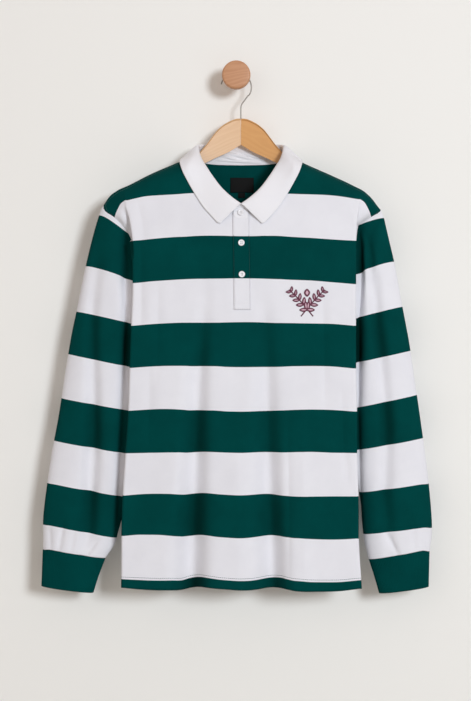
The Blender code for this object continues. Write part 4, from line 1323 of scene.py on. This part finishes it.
def collar_sheets():
    """Points of the collar's inner band and of its leaf."""
    band, leaf = [], []
    for side, number in collar_walk(COLLAR_STEP):
        seam, roll, edge, up, out = collar_frame(side, number)
        share = np.linspace(1, 0, 46)[:, None]
        low = seam + up * 0.0002
        wall = low + (roll - low) * share + out * 0.0012 * np.sin(math.pi * share)
        # Behind the neck the band leans forward halfway up.
        wall[:, 1] -= 0.0035 * np.sin(math.pi * share[:, 0]) * smooth_step(8, 9.4, number)
        band.append(wall)
        start = roll - out * 0.0014 + up * 0.0012
        turn = [start + up * rise + out * run for rise, run in TURN_IN]
        turn += [roll + up * rise + out * run for rise, run in TURN_OUT]
        share = np.linspace(0, 1, 23)[1:, None]
        # The corners at the front are rounded off, and the leaf bulges beside the neck.
        edge = edge - out * 0.0035 * (1 - min(number / 0.35, 1)) ** 2
        fall = turn[-1] + (edge - turn[-1]) * share + up * 0.0015 * np.sin(math.pi * share)
        full = 0.0085 * math.exp(-((number - 5.7) / 1.2) ** 2)
        fall[:, 1] -= full * np.sin(math.pi * share[:, 0])
        leaf.append(np.concatenate((turn, clear_of_panels(fall, number))))
    band, leaf = (np.stack(part, axis=1) for part in (band, leaf))
    band = band - normals_of(band) * relief(BAND_CREASES, *x_and_drop(band))[..., None]
    leaf = soften(leaf, 40)
    for column, (side, number) in enumerate(collar_walk(COLLAR_STEP)):
        leaf[TURN_ROWS:, column] = clear_of_panels(leaf[TURN_ROWS:, column], number)
    return band, soften(leaf, 6)


def stand_end_grid():
    """Points of the stand's end, which comes out between the collar's points."""
    down, right = np.meshgrid(np.linspace(0, 1, 24), np.linspace(-1, 1, 30), indexing="ij")
    drop = 0.2238 + 0.0240 * down + 0.0012 * right ** 2 * (1 - down)
    corner = np.clip((down - 0.70) / 0.30, 0, 1) ** 2
    narrow = np.where(right < 0, 1 - 0.55 * corner, 1 - 0.15 * corner)
    x = MIDDLE - 0.0006 + 0.0120 * right * narrow
    on_front = front_place(x, np.maximum(drop, 0.2300), 0.0024)[..., 1]
    y = on_front + (-0.1092 - on_front) * (1 - smooth_step(0, 0.4, down))
    return places(x, y, drop)


class SHIRT_OT_collar(bpy.types.Operator):
    """Sews the collar's inner band and the leaf that is turned down over it"""
    bl_idname = "shirt.collar"
    bl_label = "Collar"

    def execute(self, context):
        twill = twill_material()
        band, leaf = collar_sheets()
        finish_cloth("twill_collar_band", band, twill, "twill", ["collar_band"],
                     sizes().collar_wall, "gathered", ["cloth_front", "cloth_back"])
        finish_cloth("twill_collar_leaf", leaf, twill, "twill", ["collar_leaf"],
                     sizes().collar_wall, "folded", ["twill_collar_band"])
        settle(walled("twill_stand_end", stand_end_grid(), twill, 0.0010), "twill")
        return {"FINISHED"}


# ---- placket and buttons -----------------------------------------------------------------
def front_place(x, drop, lift):
    """Points on the creased front panel, lifted off it."""
    x, drop = np.broadcast_arrays(np.asarray(x, float), np.asarray(drop, float))
    depth = relief(CREASES["front"], x, drop) + slack(x, drop, SLACK_SEED["front"])
    top = top_of_panel("front", x)[0]
    y = surface_y("front", x, drop) + depth * smooth_step(0, 0.05, drop - top) - lift
    return places(x, y, drop)


def stripe_on_front(x, drop):
    """Stripe number at a place on the front's face."""
    return body_stripe("front", (x - body_middle(drop)) / body_half("front", drop), x, drop)


def placket_grid():
    """Points of the placket's strip, with rounded edges and a stitched groove inside them."""
    drop = np.linspace(PLACKET_TOP - 0.002, PLACKET_BOTTOM, 90)[:, None]
    share = np.linspace(-0.5, 0.5, 48)[None, :]
    edge = np.clip((0.5 - abs(share)) / 0.05, 0, 1) ** 0.5
    groove = 0.0008 * hump(abs(share), 0.44, 0.022)
    x = placket_middle(drop) + PLACKET_WIDTH * share
    return front_place(x, drop, 0.0006 + 0.0012 * edge - groove)


BUTTON_PROFILE = ((0.0, 0.0009), (0.0028, 0.0009), (0.0036, 0.0012), (0.0044, 0.0016),
                  (0.0050, 0.0015), (0.0053, 0.0011), (0.0053, 0.0006), (0.0050, 0.0001),
                  (0.0, 0.0))
BUTTON_RADIUS = 0.0053
BUTTON_LIFT = 0.0024         # of a button's back off the front panel
STAND_END_LIFT = 0.0012      # what the stand's end adds under the top button
HOLE_RADIUS = 0.00062
HOLE_OUT = 0.00115           # of each hole from the middle, across and up


def button_mesh(centre, tilt):
    """A four-hole button: a dished disc with a rounded rim."""
    plain = link("disc", mesh_of(turned_form(BUTTON_PROFILE, 40), "disc"))
    drills = bmesh.new()
    for x, z in ((-1, -1), (-1, 1), (1, -1), (1, 1)):
        drill = bmesh.ops.create_cone(drills, cap_ends=True, segments=16, depth=0.006,
                                      radius1=HOLE_RADIUS, radius2=HOLE_RADIUS)["verts"]
        bmesh.ops.rotate(drills, verts=drill, matrix=Matrix.Rotation(math.pi / 2, 3, "X"))
        bmesh.ops.translate(drills, verts=drill, vec=(x * HOLE_OUT, 0, z * HOLE_OUT))
    cutter = link("holes", mesh_of(drills, "holes"))
    cut = plain.modifiers.new("holes", "BOOLEAN")
    cut.object = cutter
    cut.operation = "DIFFERENCE"
    mesh = plain_mesh(plain)
    bpy.data.objects.remove(cutter)
    mesh.transform(Matrix.Translation(centre) @ Matrix.Rotation(tilt, 4, "X"))
    shade(mesh, 35)
    return mesh


class SHIRT_OT_placket(bpy.types.Operator):
    """Sews the placket and its three buttons"""
    bl_idname = "shirt.placket"
    bl_label = "Placket and buttons"

    def execute(self, context):
        cloth = bpy.data.materials["heavy cotton jersey"]
        points = placket_grid()
        finish_cloth("cloth_placket", points, cloth, "jersey", ["placket"], 0.0010, "laid",
                     ["cloth_front"], stripe=stripe_on_front(*x_and_drop(points)))
        plastic = button_material()
        for number, drop in enumerate(BUTTON_DROPS, start=1):
            x = placket_middle(drop)
            above, below = (front_place(x, drop + step, 0)[1]
                            for step in (-BUTTON_RADIUS, BUTTON_RADIUS))
            lift = BUTTON_LIFT + (STAND_END_LIFT if number == 1 else 0)
            centre = Vector((x, float(above + below) / 2 - lift, -drop))
            tilt = math.atan2(below - above, 2 * BUTTON_RADIUS)
            button = link("shirt_button_%d" % number, button_mesh(centre, tilt))
            button.data.materials.clear()
            button.data.materials.append(plastic)
            settle(button, "button", "button_%d" % number)
        return {"FINISHED"}


# ---- label -------------------------------------------------------------------------------
class SHIRT_OT_label(bpy.types.Operator):
    """Lays the bare woven label and its tab inside the back of the neck"""
    bl_idname = "shirt.label"
    bl_label = "Neck label"

    def execute(self, context):
        satin = ribbon_material()
        for patch in reversed(PATCHES):
            down, right = np.meshgrid(np.linspace(0, 1, 24), np.linspace(-0.5, 0.5, 36),
                                      indexing="ij")
            x, drop = patch.x + patch.width * right, patch.drop + patch.height * down
            sag = 0.0006 * np.sin(math.pi * (right + 0.5)) * down
            y = surface_y("back", x, drop) - 0.0022 - sag
            piece = walled(patch.name, places(x, y, drop), satin, 0.0005)
            settle(piece, "label", patch.node)
        return {"FINISHED"}


# ---- embroidery --------------------------------------------------------------------------
def leaf_grid(x, drop, length, width, angle, grow, lift):
    """A pointed leaf on the front panel, angle being measured from straight up."""
    s = np.linspace(0, 1, 17)[:, None]
    t = np.linspace(-1, 1, 9)[None, :]
    half = (width / 2 + grow) * np.sin(math.pi * s) ** 0.75
    run = (s - 0.5) * (length + 2.6 * grow)
    side = half * t
    place_x = x + run * math.sin(angle) + side * math.cos(angle)
    place_drop = drop - run * math.cos(angle) + side * math.sin(angle)
    return front_place(place_x, place_drop, lift * (0.45 + 0.55 * (1 - t ** 4)))


def strip_grid(line, width, lift):
    """A satin-stitched line along (x, drop) points."""
    line = np.asarray(line, float)
    run = np.gradient(line, axis=0)
    run /= np.linalg.norm(run, axis=1, keepdims=True)
    t = np.linspace(-1, 1, 5)
    x = line[:, :1] + run[:, 1:] * t * width / 2
    drop = line[:, 1:] - run[:, :1] * t * width / 2
    return front_place(x, drop, lift * (0.5 + 0.5 * (1 - t ** 4)))


CHEST_X, CHEST_DROP = 0.1175, 0.389    # middle of the embroidery


def stem_place(side, share):
    """x and drop of a sprig's stem, share being 0 at its foot and 1 at its tip."""
    return (CHEST_X - side * 0.010 + side * 0.040 * share,
            CHEST_DROP + 0.022 - 0.034 * share - 0.010 * math.sin(math.pi * share / 2))


def embroidery_grids():
    """The dark leaves, stems and diamond, and the pale filling that lies on them."""
    dark, pale = [], []
    for side in (-1, 1):
        stem = [stem_place(side, share) for share in np.linspace(0, 1, 16)]
        dark.append(strip_grid(stem, 0.0020, 0.0009))
        for number in range(5):
            x, drop = stem_place(side, 0.22 + 0.17 * number)
            size = 0.0125 - 0.0011 * number
            for hand in (-1, 1):
                angle = side * 0.75 + hand * 0.85
                leaf = (x + math.sin(angle) * size * 0.55, drop - math.cos(angle) * size * 0.55,
                        size, size * 0.42, angle)
                dark.append(leaf_grid(*leaf, 0.0007, 0.0010))
                pale.append(leaf_grid(*leaf, -0.0015, 0.0014))
    gem = (CHEST_X, CHEST_DROP - 0.017, 0.013, 0.010, 0.0)
    dark.append(leaf_grid(*gem, 0, 0.0010))
    pale.append(leaf_grid(*gem, -0.0024, 0.0014))
    return {"maroon": dark, "outline": pale}


class SHIRT_OT_embroidery(bpy.types.Operator):
    """Embroiders two crossed leaf sprigs and a small diamond on the left chest"""
    bl_idname = "shirt.embroidery"
    bl_label = "Chest embroidery"

    def execute(self, context):
        for name, grids in embroidery_grids().items():
            form = bmesh.new()
            for grid in grids:
                part = sheet_mesh("part", grid)
                form.from_mesh(part)
                bpy.data.meshes.remove(part)
            piece = link("embroidery_" + name, mesh_of(form, "embroidery_" + name))
            piece.data.materials.append(embroidery_material(name, getattr(colours(), name)))
            add_wall(piece, 0.0003)
            settle(piece, "jersey")
        return {"FINISHED"}


# ---- stitches ----------------------------------------------------------------------------
LINE_LIFT = 0.0001           # of a stitch line off its cloth
PLACKET_LIFT = 0.0019        # of one on the placket off the front panel


def stitch_tree():
    """A node tree that lays a short thread at even steps along every line of a mesh."""
    tree = bpy.data.node_groups.new("stitches along lines", "GeometryNodeTree")
    for name, kind, way in (("Geometry", "NodeSocketGeometry", "INPUT"),
                            ("Pitch", "NodeSocketFloat", "INPUT"),
                            ("Stitch length", "NodeSocketFloat", "INPUT"),
                            ("Thread", "NodeSocketFloat", "INPUT"),
                            ("Material", "NodeSocketMaterial", "INPUT"),
                            ("Geometry", "NodeSocketGeometry", "OUTPUT")):
        tree.interface.new_socket(name, in_out=way, socket_type=kind)
    given = node(tree, "NodeGroupInput")
    line = node(tree, "GeometryNodeMeshToCurve", {"Mesh": given.outputs["Geometry"]})
    steps = node(tree, "GeometryNodeCurveToPoints", {"Curve": line.outputs[0],
                                                     "Length": given.outputs["Pitch"]},
                 mode="LENGTH")
    aim = node(tree, "FunctionNodeAlignRotationToVector", {"Vector": steps.outputs["Tangent"]},
               axis="Z")
    half = node(tree, "ShaderNodeMath", {0: given.outputs["Thread"], 1: 0.5},
                operation="MULTIPLY")
    thread = node(tree, "GeometryNodeMeshCylinder", {"Vertices": 6, "Radius": half.outputs[0],
                                                     "Depth": given.outputs["Stitch length"]})
    laid = node(tree, "GeometryNodeInstanceOnPoints", {"Points": steps.outputs["Points"],
                                                       "Instance": thread.outputs["Mesh"],
                                                       "Rotation": aim.outputs[0]})
    real = node(tree, "GeometryNodeRealizeInstances", {0: laid.outputs[0]})
    finish = node(tree, "GeometryNodeSetMaterial", {"Geometry": real.outputs[0],
                                                    "Material": given.outputs["Material"]})
    node(tree, "NodeGroupOutput", {0: finish.outputs[0]})
    return tree


def stitched(name, lines, material):
    """A piece of stitches along lines, each an array of points and its stripe numbers."""
    points, edges, stripe = [], [], []
    for line, number in lines:
        start = len(points)
        points += line.tolist()
        edges += [(k, k + 1) for k in range(start, start + len(line) - 1)]
        stripe += np.broadcast_to(number, len(line)).tolist()
    mesh = bpy.data.meshes.new(name)
    mesh.from_pydata(points, edges, [])
    add_layer(mesh, "stripe", stripe)
    source = link("lines", mesh)
    run = source.modifiers.new("stitches", "NODES")
    run.node_group = stitch_tree()
    pitch = sizes().stitch_pitch
    values = {"Pitch": pitch, "Stitch length": pitch * 0.78, "Thread": sizes().thread,
              "Material": material}
    for item in run.node_group.interface.items_tree:
        if item.in_out == "INPUT" and item.name in values:
            run[item.identifier] = values[item.name]
    made = plain_mesh(source)
    made.shade_smooth()
    return link(name, made)


def panel_lines(face):
    """Stitch lines of a panel: along the hem, down both armholes, and over the shoulders."""
    points, stripe, _ = panel(face)
    lifted = points + lean_outward(face, points) * LINE_LIFT
    rows = np.array([np.interp(HEM_SEAM, column, range(len(column))) for column in stripe.T])
    upper, each = rows.astype(int), np.arange(len(rows))
    below = (rows - upper)[:, None]
    lines = [(lifted[upper, each] * (1 - below) + lifted[upper + 1, each] * below, 9.5)]
    lines += [(lifted[5:48, column], stripe[5:48, column]) for column in (2, -3)]
    top = lifted[5]
    shoulder = abs(top[:, 0] - MIDDLE) > NECK_SEAM[NECK_POINT].out + 0.004
    lines += [(top[shoulder & side], 1.5) for side in (top[:, 0] < MIDDLE, top[:, 0] > MIDDLE)]
    return lines


def placket_lines():
    """Stitch lines of the placket: twice across its foot, and down both its edges."""
    lines = []
    for down in (PLACKET_BOTTOM - 0.0015, PLACKET_BOTTOM - 0.0110):
        x = placket_middle(down) + PLACKET_WIDTH * np.linspace(-0.46, 0.46, 16)
        lines.append((front_place(x, down, PLACKET_LIFT), 0.5 if down < 0.39 else 2.5))
    drop = np.linspace(PLACKET_TOP + 0.006, PLACKET_BOTTOM - 0.001, 80)
    for share in (-0.45, 0.45):
        x = placket_middle(drop) + PLACKET_WIDTH * share
        lines.append((front_place(x, drop, PLACKET_LIFT), stripe_on_front(x, drop)))
    return lines


def collar_lines():
    """Stitch lines along the leaf's free edge and up both its ends."""
    band, leaf = collar_sheets()
    edge = leaf + normals_of(leaf) * LINE_LIFT * np.sign(leaf[-1, 0, 1] - band[-1, 0, 1])
    return [(line, 0.5) for line in (edge[-4, 3:-3], edge[8:-3, 3], edge[8:-3, -4])]


class SHIRT_OT_stitches(bpy.types.Operator):
    """Sews the hem, the placket, the collar's edge, the shoulders and the armholes"""
    bl_idname = "shirt.stitches"
    bl_label = "Stitching"

    def execute(self, context):
        lines = panel_lines("front") + panel_lines("back")
        for side in (RIGHT, LEFT):
            points, outward, _, _ = sleeve_sheet(side)
            ring = (points + outward * LINE_LIFT)[-4]
            lines.append((np.concatenate((ring, ring[:1])), 0.5))
        lines += placket_lines() + collar_lines()
        settle(stitched("stitches_jersey", lines, thread_material()), "jersey")
        return {"FINISHED"}


# ---- hanger, hook and peg ----------------------------------------------------------------
def hanger_half(side):
    """One arm: rounded sections along the arm, closed at the joint and at the tip."""
    outs = np.concatenate((np.linspace(0.0002, 0.09, 40),
                           np.linspace(0.09, HANGER_REACH, 46)[1:]))
    rings = []
    for out in outs:
        top, bottom = read(HANGER, "top", out), read(HANGER, "bottom", out)
        half = HANGER_THICK / 2 * (1 - 0.25 * (out / HANGER_REACH) ** 4)
        tall = (bottom - top) / 2
        round_off = min(0.0022, tall * 0.8, half * 0.8)
        ring = []
        for across, up, turn in ((-1, -1, math.pi), (-1, 1, math.pi / 2), (1, 1, 0),
                                 (1, -1, -math.pi / 2)):
            for k in range(6):
                angle = turn - math.pi / 2 * k / 5
                ring.append((across * (half - round_off) + round_off * math.cos(angle),
                             up * (tall - round_off) + round_off * math.sin(angle)))
        y = ridge_y(out)
        rings.append([(MIDDLE + side * out, y + dy, -(top + bottom) / 2 - dz) for dy, dz in ring])
    count = len(rings[0])
    faces = [tuple(range(count)), tuple(len(rings) * count - 1 - k for k in range(count))]
    for r in range(len(rings) - 1):
        for k in range(count):
            after = (k + 1) % count
            faces.append((r * count + k, (r + 1) * count + k, (r + 1) * count + after,
                          r * count + after))
    mesh = bpy.data.meshes.new("arm")
    mesh.from_pydata([point for ring in rings for point in ring], [], faces)
    form = bmesh.new()
    form.from_mesh(mesh)
    bmesh.ops.recalc_face_normals(form, faces=form.faces)
    return mesh_of(form, "arm", sharp=45)


# The hook's line: round its bend from one angle to the other, then down into the joint.
HOOK_BEND = (168, -27)
HOOK_SHANK = ((0.0198, 0.0322), (0.0165, 0.0365), (0.0136, 0.0404), (0.0110, 0.0440),
              (0.0096, 0.0462), (0.0086, 0.0486), (0.0081, 0.0520), (MIDDLE, 0.0560),
              (MIDDLE, 0.0640), (MIDDLE, HANGER[0].top + 0.002))
HOOK_SLIM = 0.72             # the bent wire's share of the full thickness


def hook_mesh():
    """Bends the wire round its line, which hangs on the peg's stem."""
    centre_drop = HOOK_RADIUS - PEG_STEM_RADIUS - HOOK_WIRE / 2 - 0.0003
    first, last = HOOK_BEND
    points = []
    for k in range(61):
        turn = math.radians(first + (last - first) * k / 60)
        points.append((HOOK_RADIUS * math.cos(turn), centre_drop - HOOK_RADIUS * math.sin(turn)))
    points += HOOK_SHANK
    curve = bpy.data.curves.new("wire", "CURVE")
    curve.dimensions = "3D"
    curve.bevel_depth = HOOK_WIRE / 2 * HOOK_SLIM
    curve.bevel_resolution = 5
    curve.use_fill_caps = True
    line = curve.splines.new("POLY")
    line.points.add(len(points) - 1)
    for point, (x, drop) in zip(line.points, points):
        point.co = (x, HOOK_DEPTH, -drop, 1)
    mesh = plain_mesh(link("wire", curve))
    shade(mesh, 50)
    return mesh


class SHIRT_OT_hanger(bpy.types.Operator):
    """Shapes the hanger's two wooden halves and bends its hook"""
    bl_idname = "shirt.hanger"
    bl_label = "Hanger and hook"

    def execute(self, context):
        # The two halves are lit and shaded copies of one beech: painted light on the right arm,
        # painted shade on the left one.
        for side, node_name, colour in ((RIGHT, "hanger_right", colours().wood_painted_lit),
                                        (LEFT, "hanger_left", colours().wood_painted_shaded)):
            arm = link("wood_" + node_name, hanger_half(side))
            arm.data.materials.append(wood_material("lacquered beech " + node_name, colour,
                                                    side * 0.45))
            settle(arm, "hanger_wood", node_name)
        mesh = hook_mesh()
        mesh.materials.clear()
        mesh.materials.append(steel_material())
        settle(link("hook_wire", mesh), "hook_steel", "hook")
        return {"FINISHED"}


def peg_profile():
    """The peg's half outline, as (radius, how far out), from its face to its foot."""
    head, back, length, stem = PEG_HEAD_RADIUS, PEG_HEAD_BACK, PEG_LENGTH, PEG_STEM_RADIUS
    rim = 0.0035
    profile = [(0, length), (head * 0.5, length), (head - rim, length - 0.0004)]
    for step in range(1, 9):
        turn = math.pi / 2 * step / 8
        profile.append((head - rim + rim * math.sin(turn),
                        length - 0.0004 - rim + rim * math.cos(turn)))
    return profile + [
        (head, back + 0.004), (head - 0.0006, back + 0.0018), (head - 0.002, back + 0.0006),
        (head - 0.004, back), (stem + 0.004, back), (stem + 0.0018, back - 0.0012),
        (stem + 0.0006, back - 0.003), (stem, back - 0.006), (stem, 0.026),
        (stem + 0.002, 0.006), (stem + 0.002, 0), (0, 0)]


class SHIRT_OT_peg(bpy.types.Operator):
    """Turns the wooden wall peg"""
    bl_idname = "shirt.peg"
    bl_label = "Wall peg"

    def execute(self, context):
        mesh = mesh_of(turned_form(peg_profile(), 96), "peg", sharp=40)
        # Rougher wood than the hanger's, with wider and darker rings.
        mesh.materials.append(wood_material("oiled beech peg", colours().peg_wood, -0.28,
                                            dark=(0.80, 0.70, 0.58), roughness=0.55, pitch=2.8,
                                            wild=24.0, stretch=4.5))
        settle(link("peg_turned", mesh), "peg_wood", "wall_peg")
        return {"FINISHED"}


# ---- stage -------------------------------------------------------------------------------
FLOOR_Z = -1.3
BACKDROP = ((-2.2, 0.0006, FLOOR_Z), (2.2, 0.0006, FLOOR_Z), (2.2, 0.0006, 1.3),
            (-2.2, 0.0006, 1.3))
FLOOR = ((-6, -6, FLOOR_Z), (6, -6, FLOOR_Z), (6, 6, FLOOR_Z), (-6, 6, FLOOR_Z))
Lamp = namedtuple("Lamp", "name place aim size power colour")
LAMPS = table_of(Lamp,
    ("window", (2.0, -4.6, 0.45), (-0.05, 0, -0.52), 1.15, 94.5, (0.915, 0.985, 1.055)),
    ("fill", (-1.6, -3.3, 0.1), (-0.1, 0, -0.45), 3.0, 9.4, (1.0, 0.98, 0.96)),
    ("rear", (-0.8, 2.6, 0.6), (0, 0, -0.45), 3.2, 16.0, (1.0, 1.0, 1.0)),
)
LAMP_SPREAD = math.radians(150)
SKY_COLOUR, SKY_STRENGTH = (1.0, 0.85, 0.765, 1), 0.44
CAMERA_PLACE = (-0.0012, -2.51, -0.4678)
VIEW_HEIGHT, VIEW_DISTANCE = 1.1637, 2.4    # the camera sees this high at this distance
SENSOR = 36


def stage_sheet(name, corners, paint):
    """One flat rectangle of the stage."""
    mesh = bpy.data.meshes.new(name)
    mesh.from_pydata(corners, [], [(0, 1, 2, 3)])
    mesh.materials.append(paint)
    return link(name, mesh)


def wall_paint():
    """Matt wall paint: even and pale, and clear when it is seen from behind."""
    made, tree, shader = start_material("matt wall paint", {
        "Base Color": rgba(colours().wall), "Roughness": 0.95})
    side = node(tree, "ShaderNodeNewGeometry")
    clear = node(tree, "ShaderNodeBsdfTransparent")
    mix = node(tree, "ShaderNodeMixShader", {0: side.outputs["Backfacing"],
                                             1: shader.outputs[0], 2: clear.outputs[0]})
    feed(tree, tree.nodes["Material Output"], {"Surface": mix.outputs[0]})
    return made


def floor_paint():
    """Matt floor paint: even, a little darker than the wall."""
    return start_material("matt floor paint", {
        "Base Color": rgba(linear("#bfbcb6")), "Roughness": 0.9})[0]


class SHIRT_OT_stage(bpy.types.Operator):
    """Sets the pale wall and floor, soft lights and the camera"""
    bl_idname = "shirt.stage"
    bl_label = "Stage"

    def execute(self, context):
        scene = context.scene
        wall = stage_sheet("backdrop", BACKDROP, wall_paint())
        floor = stage_sheet("floor", FLOOR, floor_paint())
        wall.visible_shadow = False

        scene.view_settings.view_transform = "Standard"
        world = scene.world or bpy.data.worlds.new("studio")
        scene.world = world
        world.use_nodes = True
        feed(world.node_tree, world.node_tree.nodes["Background"],
             {"Color": SKY_COLOUR, "Strength": SKY_STRENGTH})

        for lamp in LAMPS:
            light = bpy.data.lights.new(lamp.name, "AREA")
            light.shape = "DISK"
            light.spread = LAMP_SPREAD
            light.size = lamp.size
            light.energy = lamp.power
            light.color = lamp.colour
            stand = link(lamp.name, light)
            stand.visible_camera = False
            stand.location = lamp.place
            aim = Vector(lamp.aim) - Vector(lamp.place)
            stand.rotation_euler = aim.to_track_quat("-Z", "Y").to_euler()

        camera = bpy.data.cameras.new("camera")
        camera.sensor_fit = "VERTICAL"
        camera.sensor_height = SENSOR
        camera.lens = SENSOR * VIEW_DISTANCE / VIEW_HEIGHT
        eye = link("camera", camera)
        eye.location = CAMERA_PLACE
        eye.rotation_euler = (math.pi / 2, 0, 0)
        scene.camera = eye
        return {"FINISHED"}


# ---- the add-on's panel and its run as a script ------------------------------------------
OPERATORS = (SHIRT_OT_body, SHIRT_OT_sleeves, SHIRT_OT_cuffs, SHIRT_OT_collar, SHIRT_OT_placket,
             SHIRT_OT_label, SHIRT_OT_embroidery, SHIRT_OT_stitches, SHIRT_OT_hanger,
             SHIRT_OT_peg, SHIRT_OT_stage)


class SHIRT_PT_panel(bpy.types.Panel):
    """Lists the shirt's pieces, sizes and colours"""
    bl_idname = "SHIRT_PT_panel"
    bl_label = "Rugby Shirt"
    bl_space_type = "VIEW_3D"
    bl_region_type = "UI"
    bl_category = "Rugby Shirt"

    def draw(self, context):
        for group in (context.scene.shirt_sizes, context.scene.shirt_colours):
            for name in group.__annotations__:
                self.layout.prop(group, name)
        for operator in OPERATORS:
            self.layout.operator(operator.bl_idname)


CLASSES = (ShirtSizes, ShirtColours) + OPERATORS + (SHIRT_PT_panel,)


def register():
    for each in CLASSES:
        bpy.utils.register_class(each)
    bpy.types.Scene.shirt_sizes = PointerProperty(type=ShirtSizes)
    bpy.types.Scene.shirt_colours = PointerProperty(type=ShirtColours)


def unregister():
    del bpy.types.Scene.shirt_colours
    del bpy.types.Scene.shirt_sizes
    for each in reversed(CLASSES):
        bpy.utils.unregister_class(each)


def main():
    register()
    for operator in OPERATORS:
        group, name = operator.bl_idname.split(".")
        getattr(getattr(bpy.ops, group), name)()


if __name__ == "__main__":
    main()
